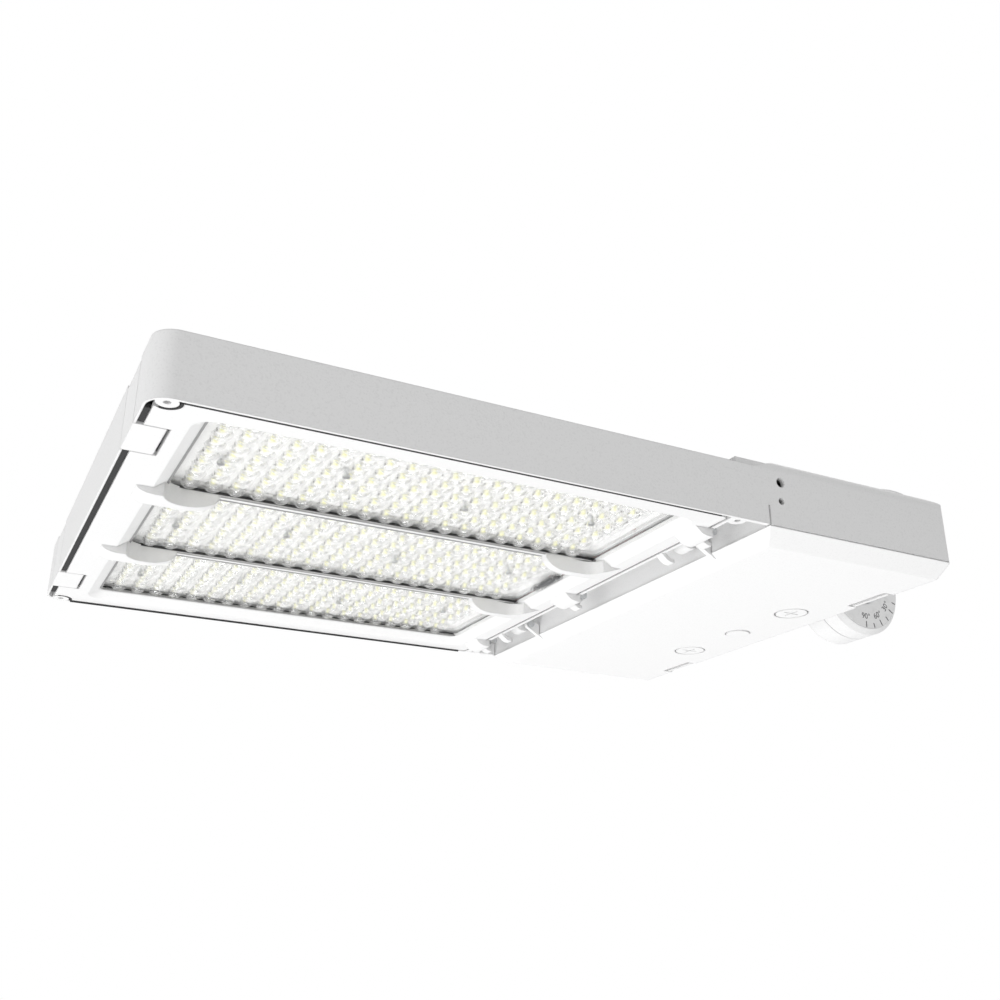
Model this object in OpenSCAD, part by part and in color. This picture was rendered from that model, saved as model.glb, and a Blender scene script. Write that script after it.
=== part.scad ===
// An area flood light on a slipfitter knuckle: a flat die-cast head that shines down, with three
// lens modules in a hinged optic frame, a wiring bay behind them with a hinged door, and a toothed
// knuckle that joins the rear of the head to a cup for a pole tenon.
// Sizes are millimetres. X runs from the lamp end to the rear, Z is up, and the lamps face down.
// All positions below are measured from the lamp end of the head, on its centre line, at the rim
// plane; seated() then moves the whole light so that the centre of the cup's mouth is the origin.

/* [Head casting] */
// Length of the head, from its lamp end to its rear face
head_l = 500; // [490:1:520]
// Width of the head
head_w = 352; // [346:1:364]
// Height of the head's walls round the lamps
led_h = 35.4; // [34.6:0.2:40]
// Height of the roof over the wiring bay
bay_h = 43; // [42:0.5:50]
// Thickness of the casting's side and end walls
wall_t = 3.2; // [2.6:0.1:3.5]
// Thickness of the roof over the wiring bay
roof_t = 3; // [2.6:0.1:3.6]
// Plan radius of the two corners at the lamp end
front_r = 12; // [10:0.5:13]
// Plan radius of the two corners at the rear
rear_r = 3; // [2:0.5:5]
// Radius along the long edges of the bay's roof
roof_r = 8; // [6:0.5:9]
// How far the bay's roof has dropped at its rear edge
roof_fall = 2.5; // [1.5:0.1:4]
// Length over which the roof drops
fall_run = 38; // [32:1:42]

/* [Heat sink] */
// Underside of the deck that carries the lamp boards
deck_z = 13.5; // [13.5:0.1:14.5]
// Thickness of that deck
deck_t = 5; // [4:0.1:5.5]
// Distance between cooling fins
fin_pitch = 12; // [10:0.5:16]
// Thickness of a cooling fin
fin_t = 2.4; // [1.8:0.1:3]

/* [Hinge channel] */
// Length of the hinge channel and the wiring bay together
bay_len = 173; // [172:0.5:176]
// Thickness of that lip
lip_t = 2.7; // [2.2:0.1:3]
// Width of the channel
chan_w = 24.8; // [24.4:0.1:27]
// Height of the channel's roof
chan_h = 15.5; // [15:0.1:16]
// Width of the optic frame's curved hinge fingers
finger_w = 8; // [6:0.5:9]
// Width of the casting's curved fingers
cast_finger_w = 6.5; // [5:0.5:7]
// Thickness of a curved finger
finger_t = 2.2; // [1.8:0.1:2.6]
// Radius of the optic frame's hinge pins
frame_pin_r = 2; // [1.6:0.1:2.4]
// Radius of the door's hinge pins
door_pin_r = 1.75; // [1.4:0.05:2]
// Distance of the outer frame hinges from the side faces
frame_hinge_in = 32.5; // [30:0.5:35]
// Offset of the middle frame hinge from the centre line
frame_hinge_mid = 5; // [0:0.5:8]
// Width of the frame's hinge tabs
hinge_tab_w = 21; // [18:0.5:23]
// Distance of the door's hinge bosses from the side faces
boss_in = 67.5; // [66:0.5:70]
// Length of a hinge boss
boss_w = 12; // [10:0.5:13]

/* [Lens modules] */
// Domes along a lens module
lens_cols = 20; // [17:1:20]
// Domes across a lens module
lens_rows = 7; // [6:1:7]
// Least gap between the bases of neighbouring domes
dome_space = 0.5; // [0.3:0.1:1.8]
// Height of a dome
dome_h = 3.9; // [3:0.1:4.4]
// Border of a lens plate past its first and last domes
lens_border = 13; // [11:0.5:13]
// Thickness of a lens plate
lens_t = 2.2; // [1.8:0.1:2.3]
// Gap between neighbouring lens plates
lens_gap = 2.2; // [1.5:0.1:3]
// Distance from the lamp end to the lens plates
lens_x = 26.5; // [26:0.5:27]
// Distance from the rear ends of the lens plates to the channel's lip
lens_tail = 16.5; // [16:0.5:18]
// Distance from the row of lens plates to the side faces
lens_side = 18.2; // [17.8:0.1:19]
// Thickness of a lamp board
board_t = 1.6; // [1.2:0.1:1.8]
// Side of a lamp chip
chip_w = 3; // [2:0.1:3.5]

/* [Optic frame] */
// Thickness of the frame's skin
frame_t = 3; // [2.4:0.1:3.6]
// Height of the raised ring round the window
ring_h = 7.5; // [7:0.1:7.5]
// Run of the window's bevel
bevel_run = 7; // [5:0.5:7]
// Depth of the window's bevel
bevel_h = 5; // [4:0.1:5.5]
// Width of the two ribs across the window
rib_w = 6.5; // [5.5:0.1:7]
// Width of the thickened rib ends
rib_end_w = 16.2; // [14:0.1:17]
// How far the rib ends hang below the frame
rib_end_h = 4.1; // [3:0.1:4.5]

/* [Latches] */
// Width of a latch
latch_w = 33; // [28:0.5:34]
// Distance of the latches from the side faces
latch_in = 50.5; // [48:0.5:53]
// Thickness of a latch's leg
latch_t = 2.2; // [1.8:0.1:2.4]
// Length of the lip that reaches under the frame
latch_lip = 16; // [14:0.5:16.5]
// Radius of a latch pin
latch_pin_r = 1.5; // [1.2:0.1:1.7]

// Gap between the frame and the inner side of a latch's lip
latch_notch = 1.8; // [0.7:0.1:2.4]

/* [Door] */
// Depth of the door below the rim
door_h = 8.3; // [7.5:0.1:9]
// Run of the door's slope at its front edge
door_run = 9.2; // [8:0.1:10]
// Run of the door's slopes at its sides
door_side_run = 13.5; // [11:0.5:15]
// Thickness of the door's floor
door_t = 2.2; // [1.8:0.1:2.6]
// Width of the door's gasket
gasket_w = 4.5; // [3.5:0.1:5]
// Distance of the door's screws from the centre line
screw_y = 59.5; // [57:0.5:63]
// Distance of the door's screws from the rear face
screw_in = 30.6; // [29:0.2:32]
// Radius of a door screw's head
screw_head_r = 10.9; // [9.5:0.1:11.2]
// Width of the ring-shaped gap round a screw's head
screw_ring = 1.1; // [0.6:0.1:1.2]
// Radius of the round plug in the door
plug_r = 8.5; // [7.5:0.1:9]
// Radius of a door screw's shank
screw_r = 3; // [2.5:0.1:3.3]

/* [Knuckle] */
// Distance from the rear face to the knuckle's axis
knuckle_reach = 85.4; // [85.4:0.5:95.4]
// Height of the knuckle's axis over the rim
knuckle_z = 40.3; // [38.3:0.5:42.3]
// Radius of the knuckle's drum
drum_r = 38.5; // [38.5:0.1:40]
// Half the width of the drum
drum_half = 18; // [17:0.5:20]
// Radius of the graduated disc
dial_r = 34.2; // [30:0.1:34.4]
// Radius of the knuckle's bolt
axle_r = 6; // [5:0.5:7]
// Number of teeth on each toothed ring
teeth = 36; // [24:1:48]

/* [Slipfitter cup] */
// Angle of the cup above the plane of the head
cup_angle = 49; // [40:1:52]
// Inner radius of the cup, for a pole tenon
bore_r = 30.6; // [30:0.1:31.5]
// Depth of the cup's bore
bore_l = 46; // [45:1:60]
// Wall of the cup
cup_wall = 4.4; // [4:0.1:6]
// Radius of the cup's clamp bolts
clamp_r = 4; // [3:0.5:5]

/* [Fits] */
// Radial clearance of a pin or a screw in its hole
fit = 0.05; // [0.03:0.01:0.08]
// Gap between pieces that move past each other
gap = 0.4; // [0.3:0.05:0.6]

/* [Hidden] */
$fn = 48;

// Head casting
half_w = head_w / 2;
lip_x = head_l - bay_len;
frame_hinge_y = half_w - frame_hinge_in;
boss_y = half_w - boss_in;
latch_y = half_w - latch_in;
// Where the bay's raised roof starts, and how far back its side walls reach full height
rise_x = lip_x + 11;
ramp_x0 = rise_x + 7;
ramp_x1 = rise_x + 28;
ramp_y = half_w - 8;
ceiling_z = bay_h - roof_t;
deck_top = deck_z + deck_t;
// Widths of the thin rim round the pocket for the optic frame
end_rim = 1.3;
side_rim = 1.8;
pocket_z = 8.2;
// Screw bosses for accessories at the four corners of the lamp opening
corner_in_x = 9.8;
corner_in_y = 5;
corner_boss_r = 5.5;
corner_hole_r = 1.8;
corner_hole_l = 14;

// Hinge channel
chan_x0 = lip_x + lip_t;
chan_x1 = chan_x0 + chan_w;
slit_w = 1.2;
slit_h = 12;
bay_x0 = chan_x1 + 4;
door_x0 = chan_x1 - slit_w;
frame_axis = [chan_x0 + 8.3, 4.5];
door_axis = [door_x0 - 7.3, 7];
corner_x1 = chan_x0 + 3.6;
boss_r = 8.2;
boss_axis = [door_axis.x - 3.3, door_axis.y + 3.5];
frame_tabs = [-frame_hinge_y, frame_hinge_mid, frame_hinge_y];
lug_w = 6;
lug_r = 4.5;
eye_r = 3.6;
eye_web = 3.6;
door_lug_w = 3.5;
door_lug_gap = 1.7;
door_lug_r = 3.6;
pin_head_t = 1.2;

// Lens modules
mod_l = lip_x - lens_tail - lens_x;
mod_pitch = (head_w - 2 * lens_side) / 3;
mod_w = mod_pitch - lens_gap;
dome_dx = (mod_l - 2 * lens_border) / lens_cols;
dome_dy = (mod_w - 7.1) / lens_rows;
dome_d = min(dome_dx, dome_dy) - dome_space;
lens_cx = lens_x + mod_l / 2;
lens_z0 = ring_h + 0.3;
lens_z1 = lens_z0 + lens_t;
board_z = deck_z - board_t;
gasket_rim = 3;
lens_pocket_x0 = lens_x - 4.5;
lens_pocket_x1 = lens_x + mod_l + 7.5;
lens_pocket_y = 1.5 * mod_pitch + 2.2;
// Lens screws stand at corners between four domes, given as dome counts from the module's centre
lens_screw_cells = [[-9, 0.5], [-4, -0.5], [2, 0.5], [8, -0.5]];
lens_screw_r = 1.3;
lens_screw_head_r = 2.1;

// Wire duct from the lamp chamber to the bay
duct_x = lens_pocket_x1 - 3.6;
duct_z = deck_top + 4.5;
duct_r = 3.4;
duct_half_w = 8;

// Optic frame
frame_x0 = end_rim + 3.6;
frame_x1 = lip_x - 1.8;
frame_half_w = half_w - side_rim - 1.7;
win_x0 = lens_x + 5.5;
win_x1 = lens_x + mod_l - 2.5;
win_y = 1.5 * mod_pitch - lens_gap / 2 - 2.7;
win_r = 5;
ring_w = 4;
rib_y = mod_pitch / 2 + 0.85;
rib_z0 = 5.5;
corner_clear = 2;

// Latches
latch_axis = [6.5, led_h - 7.9];
latch_eye_r = 3.5;
latch_eye_w = 3.5;
latch_play = 0.6;
latch_pocket_x = 14;
ear_w = 4.5;

// Door
door_top = -0.3;
seat_x0 = door_x0 + 5.2;
seat_x1 = head_l - 10.5;
seat_y = half_w - 4.8;
seat_z = -2.3;
hook_y = half_w - 67;
hook_w = 32;
screw_x = head_l - screw_in;
screw_head_z = -4.2;
screw_tip_z = 8;
column_r = 7;
column_z = 1.6;
screw_play = 0.6;
plug_rise = 0.7;
plug_ring = 1;
plug_ring_h = 1.2;
ledge_t = 2.5;

// Wiring bay
driver = [68, 200, 32];
driver_pos = [bay_x0 + 9.5, -110];
driver_flange = [9, 3];
driver_screw_r = 2;
driver_x1 = driver_pos.x + driver.x;
terminal = [14, 60, 16];
terminal_x = driver_x1 + 9;
surge = [20, 45, 24];
surge_pos = [driver_x1 + 5, half_w - 96];
ground_pos = [driver_x1 + 14, 76 - half_w];
lead_r = 1.1;
lead_drop = 8;

// Knuckle
knuckle = [head_l + knuckle_reach, knuckle_z];
arm_half_w = 50;
arm_z0 = 4;
arm_z1 = ceiling_z - 4;
arm_gasket_t = 1.5;
arm_flange_t = 7;
arm_bolt_y = arm_half_w - 8;
arm_bolt_in = 7;
arm_bolt_r = 3;
mid_gap = gap / 2;
dial_t = 0.6;
hub_r = 12;
cavity_r = 31.6;
face_web = 6;
ring_r0 = 33.4;
ring_r1 = drum_r - 1.4;
ring_base = 1.8;
tooth_h = 1.2;
washer_t = 1.5;
nut_r = 10;
nut_t = 7;

// Slipfitter cup, measured along its axis from the knuckle's axis
cup_r = bore_r + cup_wall;
cup_d0 = drum_r + 3;
cup_floor = 6;
cup_d1 = cup_d0 + cup_floor + bore_l;
web_half = 26;
web_in = 1;
bead_w = 6;
bead_t = 1.2;
clamp_boss_r = 8;
clamp_boss_t = 4;
clamp_d = [cup_d1 - 38, cup_d1 - bead_w - clamp_boss_r + 1];
bush_r = 8;
bush_hole_r = 5.5;
bush_rim_r = 10;
bush_rim_t = 1.5;
mouth = [knuckle.x + cup_d1 * cos(cup_angle), knuckle.y + cup_d1 * sin(cup_angle)];

// Moves the light so that the centre of the cup's mouth is the origin
module seated() {
  translate([-mouth.x, 0, -mouth.y])
    children();
}

// A bar along Y with the given outline in X and Z
module y_bar(outline, y0, y1) {
  translate([0, y1, 0])
    rotate([90, 0, 0])
      linear_extrude(height = y1 - y0)
        polygon(outline);
}

// A round bar along Y
module y_rod(axis, r, y0, y1) {
  translate([axis.x, y1, axis.y])
    rotate([90, 0, 0])
      cylinder(r = r, h = y1 - y0);
}

// A round bar along X
module x_rod(y, z, r, x0, x1) {
  translate([x0, y, z])
    rotate([0, 90, 0])
      cylinder(r = r, h = x1 - x0);
}

// A bar along X with the given outline in Y and Z
module x_bar(outline, x0, x1) {
  translate([x0, 0, 0])
    rotate([90, 0, 90])
      linear_extrude(height = x1 - x0)
        polygon(outline);
}

// A block between two corners
module block(a, b) {
  translate(a)
    cube(b - a);
}

// A plan with its own corner radius at each end
module rounded_plan(x0, x1, half, r0, r1) {
  mid = (x0 + x1) / 2;
  translate([x0 + r0, -half])
    square([x1 - x0 - r0 - r1, 2 * half]);
  translate([x0, r0 - half])
    square([mid - x0 + 1, 2 * (half - r0)]);
  translate([mid, r1 - half])
    square([x1 - mid, 2 * (half - r1)]);
  for (side = [-1, 1]) {
    translate([x0 + r0, side * (half - r0)])
      circle(r = r0);
    translate([x1 - r1, side * (half - r1)])
      circle(r = r1);
  }
}

// A rounded slab between two heights
module slab(x0, x1, half, r, z0, z1) {
  translate([0, 0, z0])
    linear_extrude(height = z1 - z0)
      rounded_plan(x0, x1, half, r, r);
}

// The head's plan, between two heights
module head_slab(z0, z1) {
  translate([0, 0, z0])
    linear_extrude(height = z1 - z0)
      rounded_plan(0, head_l, half_w, front_r, rear_r);
}

// Drop of the bay's roof at a place along the head
function roof_drop(x) =
  let (run = fall_run - 3, past = x - (head_l - fall_run))
  past <= 0 ? 0 : roof_fall * pow(past / run, 2);

// Outline of the bay from the side: a level roof, a gentle fall and an upright rear wall
function bay_side() = concat(
  [[rise_x, 0], [rise_x, bay_h]],
  [for (i = [0:5]) let (x = head_l - fall_run + i * (fall_run - 3) / 5) [x, bay_h - roof_drop(x)]],
  [[head_l - 1, bay_h - roof_fall - 1], [head_l - 0.2, bay_h - roof_fall - 3],
    [head_l, bay_h * 0.5], [head_l - 0.3, 0]]);

// Outline of the bay's cavity from the side, one roof thickness inside the outer outline
function bay_cavity_side() = concat(
  [[bay_x0, -1], [bay_x0, deck_top], [rise_x + roof_t, deck_top], [rise_x + roof_t, ceiling_z]],
  [for (i = [0:4]) let (x = head_l - fall_run + i * (fall_run - 3) / 5)
    [x, ceiling_z - roof_drop(x)]],
  [[head_l - roof_t - 1.6, ceiling_z - roof_fall - 1], [head_l - roof_t - 1.6, -1]]);

// Outline of the bay from the rear, with its two rounded edges
module bay_section() {
  translate([rise_x, 0, 0])
    rotate([90, 0, 90])
      linear_extrude(height = head_l - rise_x) {
        translate([-half_w, 0])
          square([head_w, bay_h - roof_r]);
        translate([roof_r - half_w, 0])
          square([head_w - 2 * roof_r, bay_h]);
        for (side = [-1, 1])
          translate([side * (half_w - roof_r), bay_h - roof_r])
            circle(r = roof_r);
      }
}

// Outer shape of the casting
module head_outer() {
  difference() {
    union() {
      intersection() {
        head_slab(0, led_h);
        block([0, -half_w, 0], [ramp_x1, half_w, led_h]);
      }
      intersection() {
        head_slab(0, bay_h);
        y_bar(bay_side(), -half_w, half_w);
        bay_section();
      }
      block([head_l - 12, -arm_half_w - 2, arm_z0 - 1.5], [head_l, arm_half_w + 2, arm_z1 + 1.5]);
    }
    for (side = [-1, 1])
      translate([0, side * (ramp_y + 10), 0])
        y_bar([[rise_x - 1, led_h], [ramp_x0, led_h], [ramp_x1, bay_h], [ramp_x1, bay_h + 1],
          [rise_x - 1, bay_h + 1]], -10, 10);
  }
}

// Hollows of the casting
module head_hollows() {
  inner = half_w - wall_t;
  translate([0, 0, -1])
    linear_extrude(height = pocket_z + 1)
      rounded_plan(end_rim, lip_x, half_w - side_rim, front_r - side_rim, 2);
  slab(lens_pocket_x0, lens_pocket_x1, lens_pocket_y, 4, pocket_z - 1, deck_z);
  slab(wall_t, rise_x, inner, 6, deck_top, bay_h + 1);
  block([chan_x0, -inner, -1], [chan_x1, inner, chan_h]);
  for (tab = frame_tabs)
    block([lip_x - 1, tab - hinge_tab_w / 2 - 0.6, -1], [chan_x0 + 1, tab + hinge_tab_w / 2 + 0.6,
      pocket_z]);
  intersection() {
    y_bar(bay_cavity_side(), -inner, inner);
    union() {
      block([rise_x, -inner, ledge_t], [head_l, inner, bay_h]);
      slab(seat_x0 + gasket_w, seat_x1 - gasket_w, seat_y - gasket_w, 5, -1, ledge_t + 1);
    }
    x_bar([[-inner, -1], [inner, -1], [inner, ceiling_z - roof_r + 1],
      [inner - roof_r + 2, ceiling_z], [roof_r - 2 - inner, ceiling_z],
      [-inner, ceiling_z - roof_r + 1]], rise_x, head_l);
  }
}

// Cooling fins on the deck
module fins() {
  count = floor((half_w - wall_t - fin_t - 1) / fin_pitch - 0.5);
  for (side = [-1, 1])
    for (i = [0:count])
      translate([0, side * (i + 0.5) * fin_pitch, 0])
        block([12, -fin_t / 2, deck_top - 1], [lip_x - 2, fin_t / 2, led_h - 0.4]);
}

// Hinge lug of the casting beside a frame finger
module frame_lug(tab) {
  y0 = tab + hinge_tab_w / 2 + gap;
  y_rod(frame_axis, lug_r, y0, y0 + lug_w);
  block([frame_axis.x - lug_r, y0, frame_axis.y], [frame_axis.x + lug_r, y0 + lug_w, chan_h + 0.5]);
}

// Underside of a curved finger from the side, with X measured from the channel's front wall
cast_finger_under = [[-2.6, 0], [-1.1, -1.7], [1, -3.6], [3.4, -4.9], [6.6, -5.2]];
frame_finger_under = [[-1.9, -0.7], [1.1, -2.6], [4, -4.5], [5.8, -5.1], [7.7, -5.2]];
tab_under = [[-13, 0], [-11.5, -1.5], [-9.8, -3.1], [-8.1, -4.1], [-5.8, -4.8], [-3.4, -5.1],
  [-1, -5.1]];

// Cast hinge boss for the door, with the curved finger beside it
module door_boss(y, finger_y) {
  y_rod(boss_axis, boss_r, y - boss_w / 2, y + boss_w / 2);
  block([boss_axis.x - boss_r, y - boss_w / 2, boss_axis.y],
    [boss_axis.x + boss_r, y + boss_w / 2, chan_h + 0.5]);
  translate([chan_x0, 0, 0])
    y_bar(concat(cast_finger_under,
      [[6.6, finger_t - 5.2], [4, finger_t - 4.9], [2.2, finger_t - 3.6], [0.3, finger_t - 1.7],
      [0.3, 3], [-2.6, 3]]), finger_y, finger_y + cast_finger_w);
}

// Screw bosses at the four corners of the lamp opening
module corner_bosses() {
  intersection() {
    head_slab(0, chan_h);
    for (side = [-1, 1])
      for (x = [corner_in_x, corner_x1])
        translate([x, side * (half_w - corner_in_y), 0])
          cylinder(r = corner_boss_r, h = chan_h);
  }
}

// Ears that hold a latch pin, on both sides of the latch's pocket
module latch_ears(y) {
  half = latch_w / 2 + latch_play;
  for (side = [-1, 1])
    translate([0, y + side * (half + ear_w / 2 - 0.5), 0])
      block([wall_t - 1, -ear_w / 2 - 0.5, deck_top - 1],
        [latch_axis.x + 4.5, ear_w / 2 + 0.5, latch_axis.y + 4.5]);
}

// Hanging tabs at the rear that the door's notches close round
module hooks() {
  for (side = [-1, 1])
    block([head_l - 5.5, side * hook_y - hook_w / 2, -door_h],
      [head_l - 2.4, side * hook_y + hook_w / 2, ledge_t]);
}

// Columns from the roof that take the door's screws
module screw_columns() {
  for (side = [-1, 1])
    translate([screw_x, side * screw_y, column_z])
      cylinder(r = column_r, h = ceiling_z - column_z);
}

// Every drilled or cored hole of the casting
module head_bores() {
  for (side = [-1, 1]) {
    for (x = [corner_in_x, corner_x1])
      translate([x, side * (half_w - corner_in_y), -1])
        cylinder(r = corner_hole_r, h = corner_hole_l + 1);
    translate([screw_x, side * screw_y, 0])
      cylinder(r = screw_r + screw_play, h = screw_tip_z + 4);
    block([door_x0, side * half_w - 10, -1], [chan_x1, side * half_w + 10, slit_h]);
    y_rod([bay_x0 + 5.5, bay_h * 0.65], 2.95, side * half_w - 6, side * half_w + 6);
    y_rod([bay_x0 + 5, bay_h * 0.37], 2.05, side * half_w - 6, side * half_w + 6);
    for (z = [arm_z0 + arm_bolt_in, arm_z1 - arm_bolt_in])
      x_rod(side * arm_bolt_y, z, arm_bolt_r + fit, head_l - 10, head_l + 1);
    y_rod(latch_axis, latch_pin_r + fit, side * latch_y - latch_w / 2 - 4,
      side * latch_y + latch_w / 2 + 4);
    block([-1, side * latch_y - latch_w / 2 - latch_play, -1],
      [latch_pocket_x, side * latch_y + latch_w / 2 + latch_play, led_h + 1]);
    y_rod(door_axis, door_pin_r + fit, side * boss_y - boss_w / 2 - 1,
      side * boss_y + boss_w / 2 - 2);
  }
  for (tab = frame_tabs)
    y_rod(frame_axis, frame_pin_r + fit, tab, tab + hinge_tab_w / 2 + gap + lug_w - 1);
  for (y = [-mod_pitch, 0, mod_pitch])
    for (cell = lens_screw_cells)
      translate([lens_cx + cell.x * dome_dx, y + cell.y * dome_dy, deck_z - 1])
        cylinder(r = lens_screw_r + fit, h = 4.5);
  for (end = [0, 1])
    translate([driver_pos.x + driver.x / 2, driver_pos.y + end * driver.y
      + (end - 0.5) * driver_flange.x, ceiling_z - 1])
      cylinder(r = driver_screw_r + fit, h = roof_t);
  translate([ground_pos.x, ground_pos.y, ceiling_z - 1])
    cylinder(r = driver_screw_r + fit, h = roof_t);
  translate([duct_x, 0, deck_z - 1])
    cylinder(r = duct_r, h = duct_z - deck_z + 1 + duct_r);
  x_rod(0, duct_z, duct_r, duct_x, rise_x + roof_t + 1);
  x_rod(0, (arm_z0 + arm_z1) / 2, bush_hole_r, head_l - 14, head_l + 1);
}

// The die-cast head
module housing() {
  color("white")
    seated()
      difference() {
        union() {
          difference() {
            head_outer();
            head_hollows();
          }
          fins();
          corner_bosses();
          hooks();
          screw_columns();
          block([duct_x - duct_r - 3, -duct_half_w, deck_top - 1],
            [rise_x + 1, duct_half_w, duct_z + duct_r + 3]);
          block([head_l - 14, -arm_half_w, ledge_t], [head_l - 4, arm_half_w, arm_z1]);
          for (tab = frame_tabs)
            frame_lug(tab);
          door_boss(-boss_y, 10 - boss_y - cast_finger_w);
          door_boss(boss_y, boss_y + 8 - cast_finger_w);
          for (side = [-1, 1])
            latch_ears(side * latch_y);
        }
        head_bores();
      }
}

// A clear lens plate with its field of domes
module lens(y) {
  dome_r = (pow(dome_d / 2, 2) + pow(dome_h, 2)) / (2 * dome_h);
  difference() {
    union() {
      slab_at(y, lens_x, lens_x + mod_l, mod_w / 2, 4, lens_z0, lens_z1);
      for (i = [0:lens_cols - 1])
        for (j = [0:lens_rows - 1])
          translate([lens_cx + (i - (lens_cols - 1) / 2) * dome_dx,
            y + (j - (lens_rows - 1) / 2) * dome_dy, lens_z0])
            intersection() {
              translate([0, 0, dome_r - dome_h])
                sphere(r = dome_r, $fn = 24);
              translate([-dome_d, -dome_d, -dome_h - 1])
                cube([2 * dome_d, 2 * dome_d, dome_h + 1.5]);
            }
    }
    for (cell = lens_screw_cells)
      translate([lens_cx + cell.x * dome_dx, y + cell.y * dome_dy, lens_z0 - 3])
        cylinder(r = lens_screw_r + 0.2, h = lens_t + 6);
  }
}

// A rounded slab whose centre line lies at y
module slab_at(y, x0, x1, half, r, z0, z1) {
  translate([0, y, 0])
    slab(x0, x1, half, r, z0, z1);
}

module lens_near() {
  color("lightcyan")
    seated()
      lens(-mod_pitch);
}

// The middle lens also has a low clear cover over the lead connector at its rear end
module lens_mid() {
  color("lightcyan")
    seated() {
      lens(0);
      block([lens_x + mod_l - 9.5, -18, lens_z0 - 3.4], [lens_x + mod_l - 3, 16, lens_z0 + 0.5]);
    }
}

module lens_far() {
  color("lightcyan")
    seated()
      lens(mod_pitch);
}

// A lamp board with one chip over each dome
module board(y) {
  difference() {
    union() {
      slab_at(y, lens_x + gasket_rim + 1, lens_x + mod_l - gasket_rim - 1,
        mod_w / 2 - gasket_rim - 1, 2, board_z, deck_z);
      translate([0, 0, board_z - 0.7])
        linear_extrude(height = 0.8)
          for (i = [0:lens_cols - 1])
            for (j = [0:lens_rows - 1])
              translate([lens_cx + (i - (lens_cols - 1) / 2) * dome_dx - chip_w / 2,
                y + (j - (lens_rows - 1) / 2) * dome_dy - chip_w / 2])
                square(chip_w);
    }
    for (cell = lens_screw_cells)
      translate([lens_cx + cell.x * dome_dx, y + cell.y * dome_dy, board_z - 1])
        cylinder(r = lens_screw_r + 0.2, h = board_t + 2);
  }
}

module board_near() {
  color("khaki")
    seated()
      board(-mod_pitch);
}

module board_mid() {
  color("khaki")
    seated()
      board(0);
}

module board_far() {
  color("khaki")
    seated()
      board(mod_pitch);
}

// Foam rings that seal each lens to the deck
module lens_gaskets() {
  color("dimgray")
    seated()
      for (y = [-mod_pitch, 0, mod_pitch])
        difference() {
          slab_at(y, lens_x + 0.5, lens_x + mod_l - 0.5, mod_w / 2 - 0.5, 3.5, lens_z1, deck_z);
          slab_at(y, lens_x + gasket_rim + 0.5, lens_x + mod_l - gasket_rim - 0.5,
            mod_w / 2 - gasket_rim - 0.5, 2, lens_z1 - 1, deck_z + 1);
          block([lens_x + mod_l - gasket_rim - 1, y - 2, board_z - 0.6],
            [lens_x + mod_l, y + 2, deck_z + 1]);
        }
}

module lens_screws() {
  color("silver")
    seated()
      for (y = [-mod_pitch, 0, mod_pitch])
        for (cell = lens_screw_cells)
          translate([lens_cx + cell.x * dome_dx, y + cell.y * dome_dy, lens_z0]) {
            translate([0, 0, -1.4])
              cylinder(r = lens_screw_head_r, h = 1.4);
            translate([0, 0, -0.4])
              cylinder(r = lens_screw_r, h = deck_z - lens_z0 + 3.2);
          }
}

// Leads that join the three boards, rise through the duct and end at the driver
module board_leads() {
  x1 = lens_x + mod_l - gasket_rim - 1;
  z = deck_z - lead_r - 0.1;
  color("darkred")
    seated()
      union() {
        for (y = [-mod_pitch, 0, mod_pitch]) {
          x_rod(y, z, lead_r - 0.3, x1, duct_x);
          translate([duct_x, y, z])
            sphere(r = lead_r, $fn = 24);
        }
        y_rod([duct_x, z], lead_r, -mod_pitch, mod_pitch);
        translate([duct_x, 0, z])
          cylinder(r = lead_r, h = duct_z - z);
        translate([duct_x, 0, duct_z])
          sphere(r = lead_r, $fn = 24);
        x_rod(0, duct_z, lead_r, duct_x, driver_pos.x);
      }
}

// Rubber grommet where the leads enter the bay
module lead_grommet() {
  x = rise_x + roof_t;
  color("black")
    seated()
      difference() {
        union() {
          x_rod(0, duct_z, duct_r, x - 6, x + 1);
          x_rod(0, duct_z, duct_r + 1, x, x + 2);
        }
        x_rod(0, duct_z, lead_r + 0.1, x - 8, x + 4);
      }
}

// The driver: a potted box on two end flanges, hung from the bay's roof
module led_driver() {
  color("silver")
    seated()
      difference() {
        union() {
          block([driver_pos.x, driver_pos.y, ceiling_z - driver.z],
            [driver_x1, driver_pos.y + driver.y, ceiling_z]);
          block([driver_pos.x + 12, driver_pos.y - driver_flange.x, ceiling_z - driver_flange.y],
            [driver_x1 - 12, driver_pos.y + driver.y + driver_flange.x, ceiling_z]);
        }
        for (end = [0, 1])
          translate([driver_pos.x + driver.x / 2, driver_pos.y + end * driver.y
            + (end - 0.5) * driver_flange.x, ceiling_z - driver_flange.y - 1])
            cylinder(r = driver_screw_r + 0.2, h = driver_flange.y + 2);
      }
}

// A pan-head screw that points up, with its head's upper face at z
module up_screw(x, y, z, r, head_r, head_t, l) {
  translate([x, y, z - head_t])
    difference() {
      union() {
        cylinder(r = head_r, h = head_t);
        cylinder(r = r, h = head_t + l);
      }
      for (turn = [0, 90])
        rotate([0, 0, turn])
          translate([-head_r * 0.6, -head_r * 0.12, -1])
            cube([head_r * 1.2, head_r * 0.24, 1 + head_t * 0.5]);
    }
}

module driver_screws() {
  color("gainsboro")
    seated()
      for (end = [0, 1])
        up_screw(driver_pos.x + driver.x / 2, driver_pos.y + end * driver.y
          + (end - 0.5) * driver_flange.x, ceiling_z - driver_flange.y,
          driver_screw_r, 3.8, 2.4, driver_flange.y + roof_t - 1.3);
}

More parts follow.
